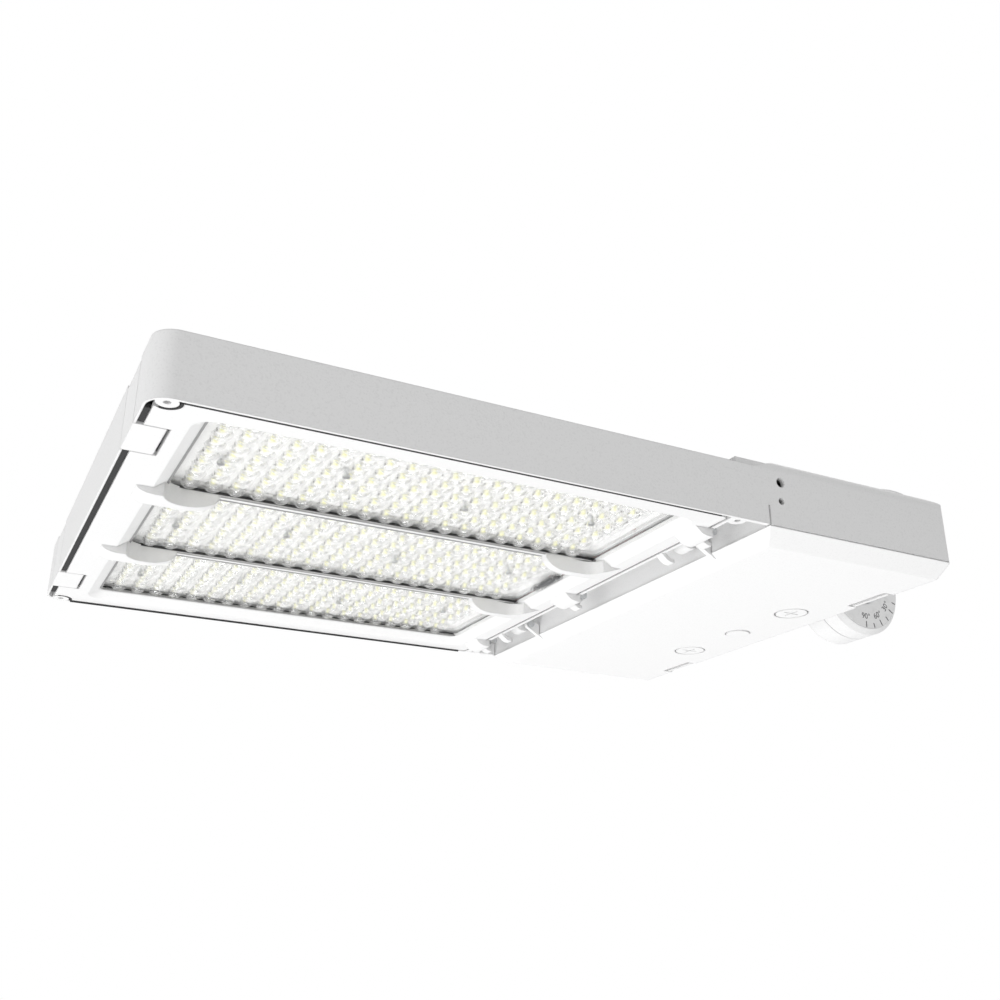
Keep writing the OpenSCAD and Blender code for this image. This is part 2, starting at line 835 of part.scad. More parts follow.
// Three-pole terminal block on the roof, with an open well for each pole
module terminal_block() {
  color("ivory")
    seated()
      difference() {
        block([terminal_x, -terminal.y / 2, ceiling_z - terminal.z],
          [terminal_x + terminal.x, terminal.y / 2, ceiling_z]);
        for (pole = [-1, 0, 1])
          translate([terminal_x + terminal.x / 2, pole * terminal.y / 3, ceiling_z - terminal.z - 1])
            cylinder(r = 4.5, h = 7);
      }
}

module surge_protector() {
  color("darkorange")
    seated()
      block([surge_pos.x, surge_pos.y, ceiling_z - surge.z],
        [surge_pos.x + surge.x, surge_pos.y + surge.y, ceiling_z]);
}

module ground_screw() {
  color("green")
    seated()
      up_screw(ground_pos.x, ground_pos.y, ceiling_z, driver_screw_r, 4.5, 2.6, roof_t - 1.3);
}

// Leads in the bay: terminal block to driver, and surge protector to terminal block
module bay_leads() {
  color("darkgreen")
    seated() {
      for (pole = [-1, 0, 1])
        x_rod(pole * terminal.y / 3, ceiling_z - lead_drop, lead_r, driver_x1, terminal_x);
      for (x = [3, 8])
        y_rod([terminal_x + x, ceiling_z - lead_drop], lead_r, terminal.y / 2, surge_pos.y);
    }
}

// Pins of the frame's three hinges, each with a head at its near end
module frame_hinge_pins() {
  color("silver")
    seated()
      for (tab = frame_tabs) {
        face = tab + hinge_tab_w / 2 - finger_w;
        y_rod(frame_axis, frame_pin_r, face - gap - pin_head_t / 2,
          tab + hinge_tab_w / 2 + gap + lug_w - 1.5);
        y_rod(frame_axis, frame_pin_r + 1.2, face - gap - pin_head_t, face - gap);
      }
}

// Near face of the door's hinge lug beside a boss
function door_lug_y(side) = side * boss_y - boss_w / 2 - door_lug_gap - door_lug_w;

module door_hinge_pins() {
  color("silver")
    seated()
      for (side = [-1, 1]) {
        y_rod(door_axis, door_pin_r, door_lug_y(side) - gap - pin_head_t / 2,
          side * boss_y + boss_w / 2 - 2.5);
        y_rod(door_axis, door_pin_r + 1.1, door_lug_y(side) - gap - pin_head_t,
          door_lug_y(side) - gap);
      }
}

module latch_pins() {
  color("silver")
    seated()
      for (side = [-1, 1])
        y_rod(latch_axis, latch_pin_r, side * latch_y - latch_w / 2 - 3.5,
          side * latch_y + latch_w / 2 + 3.5);
}

// Return springs round the latch pins, as plain sleeves between the eyes
module latch_springs() {
  half = latch_w / 2 - latch_eye_w - gap;
  color("gray")
    seated()
      for (side = [-1, 1])
        difference() {
          y_rod(latch_axis, latch_pin_r + 1.2, side * latch_y - half, side * latch_y + half);
          y_rod(latch_axis, latch_pin_r + fit, side * latch_y - half - 1, side * latch_y + half + 1);
        }
}

// Window of the frame: bevelled up to bevel_h, then straight
module frame_window() {
  corners = [for (x = [win_x0 + win_r, win_x1 - win_r]) for (side = [-1, 1])
    [x, side * (win_y - win_r)]];
  y_bar([[win_x0 - bevel_run, 0], [win_x1 + bevel_run, 0], [win_x1, bevel_h], [win_x0, bevel_h]],
    win_r - win_y, win_y - win_r);
  x_bar([[-win_y - bevel_run, 0], [win_y + bevel_run, 0], [win_y, bevel_h], [-win_y, bevel_h]],
    win_x0 + win_r, win_x1 - win_r);
  for (c = corners)
    translate([c.x, c.y, 0])
      cylinder(r1 = win_r + bevel_run, r2 = win_r, h = bevel_h);
  slab(win_x0, win_x1, win_y, win_r, bevel_h - 0.5, ring_h + 1);
  slab(win_x0 - bevel_run, win_x1 + bevel_run, win_y + bevel_run, win_r + bevel_run, -1, 0);
}

// Outline from the side of the rib end nearest the lamp end: two elliptical ends
function front_end_side() =
  let (x0 = win_x0 - 15.7, x1 = win_x0 + 31.3)
  concat(
    [for (a = [0:15:90]) [x0 + 11 * (1 - cos(a)), -rib_end_h * sin(a)]],
    [for (a = [0:15:90]) [x1 - 18.3 + 18.3 * sin(a), rib_z0 - (rib_end_h + rib_z0) * cos(a)]],
    [[x1, rib_z0 + 1.5], [x0, rib_z0 + 1.5]]);

// Outline from the side of the rib end nearest the hinges
function rear_end_side() =
  let (x0 = win_x1 - 36, x1 = win_x1 + 14)
  concat(
    [[x1, frame_t], [x0, rib_z0 + 1.5], [x0, rib_z0]],
    [for (a = [90:-15:0]) [x0 + 15 - 15 * sin(a), rib_z0 - (rib_end_h + rib_z0) * cos(a)]],
    [[x1 - 12, -rib_end_h], [x1, 0]]);

// Plan of a rib end: a wide head that sweeps into the rib, mirrored for the other end
module rib_end_plan(x0, wide, sweep, tail) {
  flare = rib_end_w - rib_w;
  r = (sweep * sweep + flare * flare) / (2 * flare);
  translate([x0, -flare])
    square([wide, rib_end_w]);
  translate([x0, 0])
    square([wide + sweep + tail, rib_w]);
  difference() {
    translate([x0 + wide - 1, -flare])
      square([sweep + 1, rib_end_w]);
    translate([x0 + wide + sweep, -r])
      circle(r = r, $fn = 96);
  }
}

// A rib across the window with its two thick ends; edge_y is the rib's near edge
module rib(edge_y) {
  block([win_x0 - 2, edge_y, rib_z0], [win_x1 + 2, edge_y + rib_w, ring_h - 0.3]);
  intersection() {
    translate([0, edge_y, -rib_end_h - 1])
      linear_extrude(height = 15)
        rib_end_plan(win_x0 - 15.7, 14.7, 13, 20);
    y_bar(front_end_side(), edge_y - rib_end_w, edge_y + rib_end_w);
  }
  intersection() {
    translate([2 * win_x1 - 8, edge_y, -rib_end_h - 1])
      linear_extrude(height = 15)
        mirror([1, 0])
          rib_end_plan(win_x1 - 22, 13, 11, 28);
    y_bar(rear_end_side(), edge_y - rib_end_w, edge_y + rib_end_w);
  }
}

// A hinge tab of the frame, with the curved finger along its far edge and the hinge's eye
module frame_tab(tab) {
  y1 = tab + hinge_tab_w / 2;
  translate([chan_x0, 0, 0]) {
    y_bar(concat(tab_under, [[-1, 5], [-13, 5]]), tab - hinge_tab_w / 2, y1);
    y_bar(concat(frame_finger_under,
      [[7.7, finger_t - 5.2], [6, finger_t - 5], [4.6, finger_t - 4.3], [2.2, finger_t - 2.6],
      [-1.9, finger_t + 0.2]]), y1 - finger_w, y1);
    y_bar([[-1.9, -0.6], [4, -4.4], [7.6, -5], [9.6, 1.4], [8.3, 8], [-1.9, 5]], y1 - eye_web, y1);
  }
  y_rod(frame_axis, eye_r, y1 - eye_web, y1);
}

// The hinged optic frame
module optic_frame() {
  color("snow")
    seated()
      difference() {
        union() {
          difference() {
            union() {
              slab(frame_x0, frame_x1, frame_half_w, 3, 0, frame_t);
              slab(win_x0 - bevel_run - ring_w, win_x1 + bevel_run + ring_w,
                win_y + bevel_run + ring_w, win_r + bevel_run, frame_t - 1, ring_h);
            }
            frame_window();
            for (side = [-1, 1]) {
              translate([corner_in_x, side * (half_w - corner_in_y), -1])
                cylinder(r = corner_boss_r + corner_clear, h = ring_h);
              block([frame_x0 - 1, side * latch_y - latch_w / 2 - latch_play, -1],
                [latch_lip + latch_notch, side * latch_y + latch_w / 2 + latch_play, ring_h + 1]);
            }
          }
          rib(rib_y - rib_w / 2);
          rib(-rib_y - rib_w / 2);
          for (tab = frame_tabs)
            frame_tab(tab);
        }
        for (tab = frame_tabs)
          y_rod(frame_axis, frame_pin_r + fit, tab, tab + hinge_tab_w / 2 + 1);
      }
}

// A latch: a leg flush with the end wall, a lip under the frame and two pivot eyes
module latch(y) {
  top = latch_axis.y + 5.5;
  difference() {
    union() {
      block([0, y - latch_w / 2, 0], [latch_t, y + latch_w / 2, top]);
      block([0, y - latch_w / 2, 0], [latch_lip, y + latch_w / 2, 2]);
      for (side = [-1, 1])
        translate([0, y + side * (latch_w - latch_eye_w) / 2, 0]) {
          y_rod(latch_axis, latch_eye_r, -latch_eye_w / 2, latch_eye_w / 2);
          block([latch_t - 1, -latch_eye_w / 2, latch_axis.y - latch_eye_r],
            [latch_axis.x, latch_eye_w / 2, latch_axis.y + latch_eye_r]);
        }
    }
    y_rod(latch_axis, latch_pin_r + fit, y - latch_w, y + latch_w);
  }
}

module latch_near() {
  color("whitesmoke")
    seated()
      latch(-latch_y);
}

module latch_far() {
  color("whitesmoke")
    seated()
      latch(latch_y);
}

// Outer shape of the door: sloped at its front and sides
module door_outer() {
  intersection() {
    y_bar([[door_x0, 0], [door_x0 + door_run, -door_h], [head_l, -door_h], [head_l, door_top],
      [door_x0 + 0.4, door_top]], -half_w, half_w);
    x_bar([[-half_w, 0], [door_side_run - half_w, -door_h], [half_w - door_side_run, -door_h],
      [half_w, 0]], door_x0, head_l);
    head_slab(-door_h, door_top);
  }
}

// A hinge lug of the door, from its front edge up to the hinge pin
module door_lug(side) {
  y0 = door_lug_y(side);
  y_rod(door_axis, door_lug_r, y0, y0 + door_lug_w);
  y_bar([[door_axis.x - 2.6, door_axis.y - 2.5], [door_x0 + 2.5, -3.3], [seat_x0 - 0.4, -4],
    [seat_x0 - 0.4, door_top], [door_x0 + 0.6, door_top], [door_x0 + 0.6, door_axis.y],
    [door_axis.x + 2, door_axis.y + 3]], y0, y0 + door_lug_w);
}

// The hinged door of the wiring bay
module door() {
  color("white")
    seated()
      difference() {
        union() {
          difference() {
            door_outer();
            slab(seat_x0, seat_x1, seat_y, 5, seat_z, 1);
            slab(seat_x0 + gasket_w + 0.5, seat_x1 - gasket_w - 0.5, half_w - door_side_run - 1, 3,
              door_t - door_h, 1);
          }
          for (side = [-1, 1]) {
            translate([screw_x, side * screw_y, -door_h])
              cylinder(r = screw_head_r + 3, h = door_h - 1.2);
            door_lug(side);
          }
        }
        for (side = [-1, 1]) {
          translate([screw_x, side * screw_y, -door_h - 1])
            cylinder(r = screw_head_r + screw_ring, h = screw_head_z + door_h + 1);
          translate([screw_x, side * screw_y, -door_h])
            cylinder(r = screw_r + fit, h = door_h + 1);
          block([head_l - 9, side * hook_y - hook_w / 2 - 1, -door_h - 1],
            [head_l + 1, side * hook_y + hook_w / 2 + 1, 1]);
          y_rod(door_axis, door_pin_r + fit, door_lug_y(side) - 1, door_lug_y(side) + door_lug_w + 1);
        }
        translate([screw_x, 0, -door_h - 1]) {
          cylinder(r = plug_r + 0.1, h = door_t + 2);
          cylinder(r = plug_r + plug_ring, h = plug_ring_h + 1);
        }
      }
}

module door_gasket() {
  color("dimgray")
    seated()
      difference() {
        slab(seat_x0, seat_x1, seat_y, 5, seat_z, door_top);
        slab(seat_x0 + gasket_w, seat_x1 - gasket_w, seat_y - gasket_w, 3, seat_z - 1, 1);
      }
}

// Round plug in the door between its screws, slightly proud of it
module door_plug() {
  color("white")
    seated()
      translate([screw_x, 0, 0]) {
        translate([0, 0, -door_h - plug_rise])
          cylinder(r = plug_r, h = plug_rise + door_t + 0.5);
        translate([0, 0, door_t - door_h])
          cylinder(r = plug_r + 2, h = 1);
      }
}

// Push-on rings that keep the door's screws from falling out
module screw_retainers() {
  color("silver")
    seated()
      for (side = [-1, 1])
        translate([screw_x, side * screw_y, -1.2])
          difference() {
            cylinder(r = screw_r + 3, h = 0.8);
            translate([0, 0, -1])
              cylinder(r = screw_r + fit, h = 3);
          }
}

// A door screw: a wide flat head with a thin cross recess
module door_screw(y) {
  arm_l = screw_head_r * 1.14;
  arm_w = 1;
  translate([screw_x, y, 0])
    difference() {
      union() {
        translate([0, 0, -door_h])
          cylinder(r = screw_head_r, h = screw_head_z + door_h - 0.1);
        translate([0, 0, -door_h])
          cylinder(r = screw_r, h = screw_tip_z + door_h);
      }
      for (turn = [1, 91])
        rotate([0, 0, turn])
          translate([-arm_l / 2, -arm_w / 2, -door_h - 1])
            cube([arm_l, arm_w, 2.6]);
    }
}

module door_screw_near() {
  color("whitesmoke")
    seated()
      door_screw(-screw_y);
}

module door_screw_far() {
  color("whitesmoke")
    seated()
      door_screw(screw_y);
}

// Moves a child modelled round the origin to the knuckle's axis
module at_knuckle() {
  translate([knuckle.x, 0, knuckle.y])
    children();
}

// Half of the knuckle's drum on the near side, hollow, with a seat for its toothed ring
module near_drum() {
  bevel = 4;
  at_knuckle()
    difference() {
      union() {
        y_rod([0, 0], drum_r, bevel - drum_half, -mid_gap);
        translate([0, -drum_half, 0])
          rotate([-90, 0, 0])
            cylinder(r1 = drum_r - bevel, r2 = drum_r, h = bevel);
      }
      difference() {
        y_rod([0, 0], cavity_r, face_web - drum_half, 1);
        y_rod([0, 0], hub_r, -drum_half, 2);
      }
      difference() {
        y_rod([0, 0], ring_r1, -mid_gap - ring_base - tooth_h, 1);
        y_rod([0, 0], ring_r0, -drum_half, 2);
      }
      y_rod([0, 0], axle_r + fit, -drum_half - 1, 1);
    }
}

// The arm: a bolted flange, a tapering neck and the near half of the drum
module knuckle_arm() {
  x0 = head_l + arm_gasket_t;
  x1 = x0 + arm_flange_t;
  x2 = knuckle.x - drum_r - 2;
  color("white")
    seated()
      difference() {
        union() {
          block([x0, -arm_half_w, arm_z0], [x1, arm_half_w, arm_z1]);
          difference() {
            intersection() {
              y_bar([[x1 - 1, arm_z0 + 1], [x2, arm_z0 + 8], [knuckle.x - 26, arm_z0 + 13],
                [knuckle.x - 14, knuckle.y - 10], [knuckle.x - 14, knuckle.y + 16],
                [knuckle.x - 26, knuckle.y + 22], [x2, knuckle.y + 14], [x1 - 1, arm_z1 - 1]],
                -arm_half_w, arm_half_w);
              translate([0, 0, -bay_h])
                linear_extrude(height = 3 * bay_h)
                  polygon([[x1 - 1, 16 - arm_half_w], [x2 - 1, -drum_half],
                    [knuckle.x, -drum_half], [knuckle.x, -mid_gap], [x2 - 1, -mid_gap],
                    [x2 - 1, drum_half], [x1 - 1, arm_half_w - 16]]);
            }
            at_knuckle()
              y_rod([0, 0], drum_r - 1, -drum_half - 1, drum_half + 1);
          }
          near_drum();
        }
        for (side = [-1, 1])
          for (z = [arm_z0 + arm_bolt_in, arm_z1 - arm_bolt_in])
            x_rod(side * arm_bolt_y, z, arm_bolt_r + 0.2, x0 - 1, x1 + 1);
        x_rod(0, (arm_z0 + arm_z1) / 2, bush_hole_r, x0 - 1, x1 + 20);
      }
}

module arm_gasket() {
  color("dimgray")
    seated()
      difference() {
        block([head_l, -arm_half_w, arm_z0], [head_l + arm_gasket_t, arm_half_w, arm_z1]);
        for (side = [-1, 1])
          for (z = [arm_z0 + arm_bolt_in, arm_z1 - arm_bolt_in])
            x_rod(side * arm_bolt_y, z, arm_bolt_r + 0.2, head_l - 1, head_l + arm_gasket_t + 1);
        x_rod(0, (arm_z0 + arm_z1) / 2, bush_hole_r, head_l - 1, head_l + arm_gasket_t + 1);
      }
}

// Hexagon bolts that hold the arm to the head
module arm_bolts() {
  x1 = head_l + arm_gasket_t + arm_flange_t;
  color("silver")
    seated()
      for (side = [-1, 1])
        for (z = [arm_z0 + arm_bolt_in, arm_z1 - arm_bolt_in]) {
          x_rod(side * arm_bolt_y, z, arm_bolt_r, head_l - 8, x1 + 1);
          translate([x1, side * arm_bolt_y, z])
            rotate([0, 90, 0])
              cylinder(r = arm_bolt_r * 1.9, h = arm_bolt_r * 1.2, $fn = 6);
        }
}

// The graduated disc on the drum's near face
module dial() {
  color("lightgray")
    seated()
      at_knuckle()
        difference() {
          y_rod([0, 0], dial_r, -drum_half - dial_t, -drum_half);
          y_rod([0, 0], axle_r + 1, -drum_half - 2, -drum_half + 1);
        }
}

// A toothed ring that lies in the plane of X and Y with its teeth up
module tooth_ring() {
  difference() {
    cylinder(r = ring_r1, h = ring_base);
    translate([0, 0, -1])
      cylinder(r = ring_r0, h = ring_base + 2);
  }
  translate([0, 0, ring_base - 0.1])
    linear_extrude(height = tooth_h + 0.1)
      for (i = [0:teeth - 1])
        rotate(i * 360 / teeth)
          translate([ring_r0 + 0.5, -1])
            square([ring_r1 - ring_r0 - 1, 2]);
}

module tooth_ring_head() {
  color("gray")
    seated()
      at_knuckle()
        translate([0, -mid_gap - tooth_h - ring_base, 0])
          rotate([-90, 0, 0])
            tooth_ring();
}

module tooth_ring_cup() {
  color("gray")
    seated()
      at_knuckle()
        translate([0, mid_gap + tooth_h + ring_base, 0])
          rotate([90, 0, 0])
            tooth_ring();
}

// Turns a child whose axis is X so that it lies along the cup's axis, from the knuckle
module along_cup() {
  at_knuckle()
    rotate([0, -cup_angle, 0])
      children();
}

// The far half of the drum, its web and the cup for the pole's tenon
module slipfitter_cup() {
  color("white")
    seated()
      difference() {
        union() {
          at_knuckle()
            y_rod([0, 0], drum_r, mid_gap, drum_half);
          along_cup() {
            block([0, mid_gap + web_in, -web_half], [cup_d0 + 1, drum_half - web_in, web_half]);
            x_rod(0, 0, cup_r, cup_d0, cup_d1);
            x_rod(0, 0, cup_r + bead_t, cup_d1 - bead_w, cup_d1);
            for (d = clamp_d)
              y_rod([d, 0], clamp_boss_r, -cup_r - clamp_boss_t, cup_r + clamp_boss_t);
          }
        }
        at_knuckle() {
          difference() {
            y_rod([0, 0], cavity_r, -1, drum_half - face_web);
            y_rod([0, 0], hub_r, -2, drum_half);
          }
          difference() {
            y_rod([0, 0], ring_r1, -1, mid_gap + ring_base + tooth_h);
            y_rod([0, 0], ring_r0, -2, drum_half);
          }
          y_rod([0, 0], axle_r + fit, -1, drum_half + 1);
        }
        along_cup() {
          x_rod(0, 0, bore_r, cup_d0 + cup_floor, cup_d1 + 1);
          x_rod(0, 0, bush_r + 0.1, cup_d0 - 1, cup_d0 + cup_floor + 1);
          x_rod(0, 0, bush_rim_r + 0.1, cup_d0 + cup_floor - bush_rim_t,
            cup_d0 + cup_floor + 1);
          for (d = clamp_d)
            y_rod([d, 0], clamp_r + fit, -cup_r - 10, cup_r + 10);
        }
      }
}

// Clamp bolts through both sides of the cup, clear of the tenon
module cup_bolts() {
  tip = bore_r + 0.6;
  face = cup_r + clamp_boss_t;
  color("silver")
    seated()
      along_cup()
        for (d = clamp_d)
          for (side = [-1, 1])
            translate([d, side * tip, 0])
              rotate([-90 * side, 0, 0]) {
                cylinder(r = clamp_r, h = face - tip + 1);
                translate([0, 0, face - tip])
                  cylinder(r = clamp_r * 1.7, h = clamp_r * 1.3, $fn = 6);
              }
}

// Bush for the supply leads in the floor of the cup
module cup_bush() {
  color("black")
    seated()
      along_cup()
        difference() {
          union() {
            x_rod(0, 0, bush_r, cup_d0, cup_d0 + cup_floor);
            x_rod(0, 0, bush_rim_r, cup_d0 + cup_floor - bush_rim_t, cup_d0 + cup_floor);
          }
          x_rod(0, 0, bush_hole_r, cup_d0 - 1, cup_d0 + cup_floor + 3);
        }
}

// The bolt through both halves of the drum
module knuckle_bolt() {
  head_y = -drum_half - dial_t - 0.2 - washer_t;
  color("silver")
    seated()
      at_knuckle() {
        y_rod([0, 0], axle_r, head_y - 1, drum_half + washer_t + nut_t + 3);
        translate([0, head_y, 0])
          rotate([90, 0, 0])
            cylinder(r = nut_r, h = 6.5, $fn = 6);
      }
}

module knuckle_nut() {
  color("silver")
    seated()
      at_knuckle()
        difference() {
          translate([0, drum_half + washer_t + nut_t, 0])
            rotate([90, 0, 0])
              cylinder(r = nut_r, h = nut_t, $fn = 6);
          y_rod([0, 0], axle_r, drum_half, drum_half + washer_t + nut_t + 1);
        }
}

module knuckle_washer() {
  color("silver")
    seated()
      at_knuckle()
        difference() {
          y_rod([0, 0], hub_r, drum_half, drum_half + washer_t);
          y_rod([0, 0], axle_r, drum_half - 1, drum_half + washer_t + 1);
        }
}

// Washer under the bolt's head with a point that reads on the dial
module pointer() {
  y1 = -drum_half - dial_t - 0.2;
  color("silver")
    seated()
      at_knuckle()
        difference() {
          union() {
            y_rod([0, 0], hub_r + 2, y1 - washer_t, y1);
            rotate([0, -cup_angle, 0])
              y_bar([[0, -4], [dial_r - 10, 0], [0, 4]], y1 - washer_t, y1);
          }
          y_rod([0, 0], axle_r, y1 - washer_t - 1, y1 + 1);
        }
}

housing();
lens_near();
lens_mid();
lens_far();
board_near();
board_mid();
board_far();
lens_gaskets();
lens_screws();
board_leads();
lead_grommet();
led_driver();
driver_screws();
terminal_block();
surge_protector();
ground_screw();
bay_leads();
frame_hinge_pins();
door_hinge_pins();
latch_pins();
latch_springs();
optic_frame();
latch_near();
latch_far();
door();
door_gasket();
door_plug();
screw_retainers();
door_screw_near();
door_screw_far();
knuckle_arm();
arm_gasket();
arm_bolts();
dial();
tooth_ring_head();
slipfitter_cup();
cup_bolts();
cup_bush();
tooth_ring_cup();
knuckle_bolt();
knuckle_nut();
knuckle_washer();
pointer();
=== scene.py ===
"""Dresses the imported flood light: finishes on the cast and turned pieces, clear domed lenses, lamp
chips, the engraved scale on the knuckle, a pale floor, soft lamps and the camera."""

import math

import bmesh
import bpy
from mathutils import Matrix, Vector


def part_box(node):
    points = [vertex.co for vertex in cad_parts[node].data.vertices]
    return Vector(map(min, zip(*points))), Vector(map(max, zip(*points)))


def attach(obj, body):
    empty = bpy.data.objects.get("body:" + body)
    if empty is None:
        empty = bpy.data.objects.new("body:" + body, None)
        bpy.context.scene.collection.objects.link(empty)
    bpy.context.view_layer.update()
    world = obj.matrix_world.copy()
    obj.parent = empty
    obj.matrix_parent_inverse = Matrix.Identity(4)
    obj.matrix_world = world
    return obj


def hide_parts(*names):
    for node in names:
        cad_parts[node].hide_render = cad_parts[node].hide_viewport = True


bl_info = {
    "name": "Flood light dressing",
    "version": (1, 0, 0),
    "blender": (4, 5, 0),
    "location": "View3D > Sidebar > Flood light",
    "description": "Finishes, lenses, scale marks and stage for the flood light's fixed frame",
    "category": "Object",
}

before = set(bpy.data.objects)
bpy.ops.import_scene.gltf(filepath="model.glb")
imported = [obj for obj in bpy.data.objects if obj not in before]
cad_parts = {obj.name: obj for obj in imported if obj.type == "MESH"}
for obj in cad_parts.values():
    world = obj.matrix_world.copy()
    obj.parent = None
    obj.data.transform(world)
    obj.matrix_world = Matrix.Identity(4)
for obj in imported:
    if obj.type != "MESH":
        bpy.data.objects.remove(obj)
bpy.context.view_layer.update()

# Where the head's lamp-end corner on the rim's plane stands, in the row frame
HEAD = Vector((-0.646742, 0.0, -0.110865))
# The knuckle's axis crosses the head's middle plane here
KNUCKLE = Vector((-0.061342, 0.0, -0.070565))
MM = 0.001

# Dark and gray strips and rings that paint the shade in the gaps round the optic frame, its windows
# and ribs, in millimetres from the rim's plane at the lamp end, on the head's middle line
WINDOW_X = (32.0, 309.6)
WINDOW_Y = {"near": (-154.0, -55.0), "mid": (-51.9, 51.9), "far": (55.0, 154.0)}
WINDOW_CORNER = 4.0
# Painted shade: a dark ring for the shadow gap under each lens plate, a gray ring for the window's
# wall in shade
GAP_SHADE_Z, GAP_SHADE_WIDE = (6.6, 7.75), 1.1
LIP_Z, LIP_WIDE = (5.3, 6.6), 1.6
# Painted shadow: dark strips along the ribs stand in for the shadow line where each rib meets the
# lens plates
RIB_SIDES = ((-57.2, -56.7), (-50.2, -49.7), (49.7, 50.2), (56.7, 57.2))
RIB_SHADOW_X, RIB_SHADOW_Z = (34.0, 307.6), (6.2, 7.7)
SHEET_Z, STRIP_Z = (7.66, 8.14), (0.8, 2.9)
SIDE_X = (16.5, 320.0)
SIDE_SHADE_STRIPS = ((-1, (-0.1, 2.9)), (1, (-1.0, 2.9)))
LAMP_END_Y = ((-160.0, -143.6), (-107.4, 107.4), (143.6, 160.0))
HINGE_TABS, HINGE_TAB_HALF, HINGE_END = (-143.5, 5.0, 143.5), 11.6, 163.0
BOSS_X, BOSS_Y, BEND_X = 9.8, 171.0, 16.45

# Painted shade: small dark blocks beside a chip stand in for the dark specks the domes show, in
# millimetres: how far along the head, and their sizes
CHIP_SPECKS = ((-2.8, (0.9, 1.5, 2.4)), (3.1, (0.7, 0.9, 1.4)))

# Connector at the rear end of the middle plate, in millimetres
CONNECTOR_IN, CONNECTOR_Y = 6.25, -1.0
CONNECTOR_PARTS = ((0.0, 18.0), (-13.5, 3.0), (13.5, 3.0))

# Scale marks in millimetres: long ones carry a number
MARK_LONG, MARK_SHORT, MARK_RAISE = 4.9, 3.8, 0.12

# Soft lamps: name, place in metres, side of the square in metres, power in watts
LAMPS = (("lamp_below", (-0.65, 0.15, -1.75), 2.2, 28.5),
         ("lamp_end", (-2.9, -0.5, -0.7), 1.8, 26.0),
         ("lamp_near", (-0.2, -3.2, 0.5), 2.0, 17.0),
         ("lamp_top", (0.3, 0.8, 2.6), 2.4, 26.0))


class FloodLightFinish(bpy.types.PropertyGroup):
    """Colours of the coats, plastics and metals"""

    casting: bpy.props.FloatVectorProperty(
        name="Casting coat", description="Powder coat of the head, door and knuckle",
        subtype="COLOR", size=3, min=0, max=1, default=(0.80, 0.80, 0.80))
    bezel: bpy.props.FloatVectorProperty(
        name="Frame coat", description="Powder coat of the optic frame and latches",
        subtype="COLOR", size=3, min=0, max=1, default=(0.80, 0.80, 0.80))
    cover: bpy.props.FloatVectorProperty(
        name="Door coat", description="Powder coat of the wiring door, its plug and its screws",
        subtype="COLOR", size=3, min=0, max=1, default=(0.83, 0.83, 0.83))
    fleck: bpy.props.FloatVectorProperty(
        name="Coat fleck", description="Darker fleck in the powder coat",
        subtype="COLOR", size=3, min=0, max=1, default=(0.66, 0.66, 0.66))
    lens: bpy.props.FloatVectorProperty(
        name="Lens tint", description="Clear acrylic of the lens plates",
        subtype="COLOR", size=3, min=0, max=1, default=(0.985, 0.99, 0.99))
    board: bpy.props.FloatVectorProperty(
        name="Lamp board", description="White mask on the lamp boards",
        subtype="COLOR", size=3, min=0, max=1, default=(0.94, 0.94, 0.93))
    phosphor: bpy.props.FloatVectorProperty(
        name="Chip yellow", description="Pale yellow phosphor of the lamp chips",
        subtype="COLOR", size=3, min=0, max=1, default=(0.92, 0.91, 0.55))
    rubber: bpy.props.FloatVectorProperty(
        name="Seal rubber", description="Silicone of the gaskets, grommet and bush",
        subtype="COLOR", size=3, min=0, max=1, default=(0.16, 0.16, 0.165))
    gasket: bpy.props.FloatVectorProperty(
        name="Lens gasket", description="Pale silicone behind the rims of the lens plates",
        subtype="COLOR", size=3, min=0, max=1, default=(0.88, 0.88, 0.88))
    # Painted shadow: near-black colour for the strips that stand in for the shade in the gap round
    # the optic frame
    seal: bpy.props.FloatVectorProperty(
        name="Frame seal", description="Dark silicone in the gap round the optic frame",
        subtype="COLOR", size=3, min=0, max=1, default=(0.022, 0.022, 0.023))
    # Painted shade: this gray stands in for the inner wall of each window in shade
    lip: bpy.props.FloatVectorProperty(
        name="Window lip", description="Gray silicone lip round each window",
        subtype="COLOR", size=3, min=0, max=1, default=(0.27, 0.27, 0.27))
    steel: bpy.props.FloatVectorProperty(
        name="Plated steel", description="Zinc plate on screws, pins, rings and springs",
        subtype="COLOR", size=3, min=0, max=1, default=(0.60, 0.61, 0.62))
    dial: bpy.props.FloatVectorProperty(
        name="Scale disc", description="Satin disc behind the scale",
        subtype="COLOR", size=3, min=0, max=1, default=(0.62, 0.62, 0.62))
    ink: bpy.props.FloatVectorProperty(
        name="Scale marks", description="Dark fill of the engraved marks and numbers",
        subtype="COLOR", size=3, min=0, max=1, default=(0.06, 0.06, 0.065))


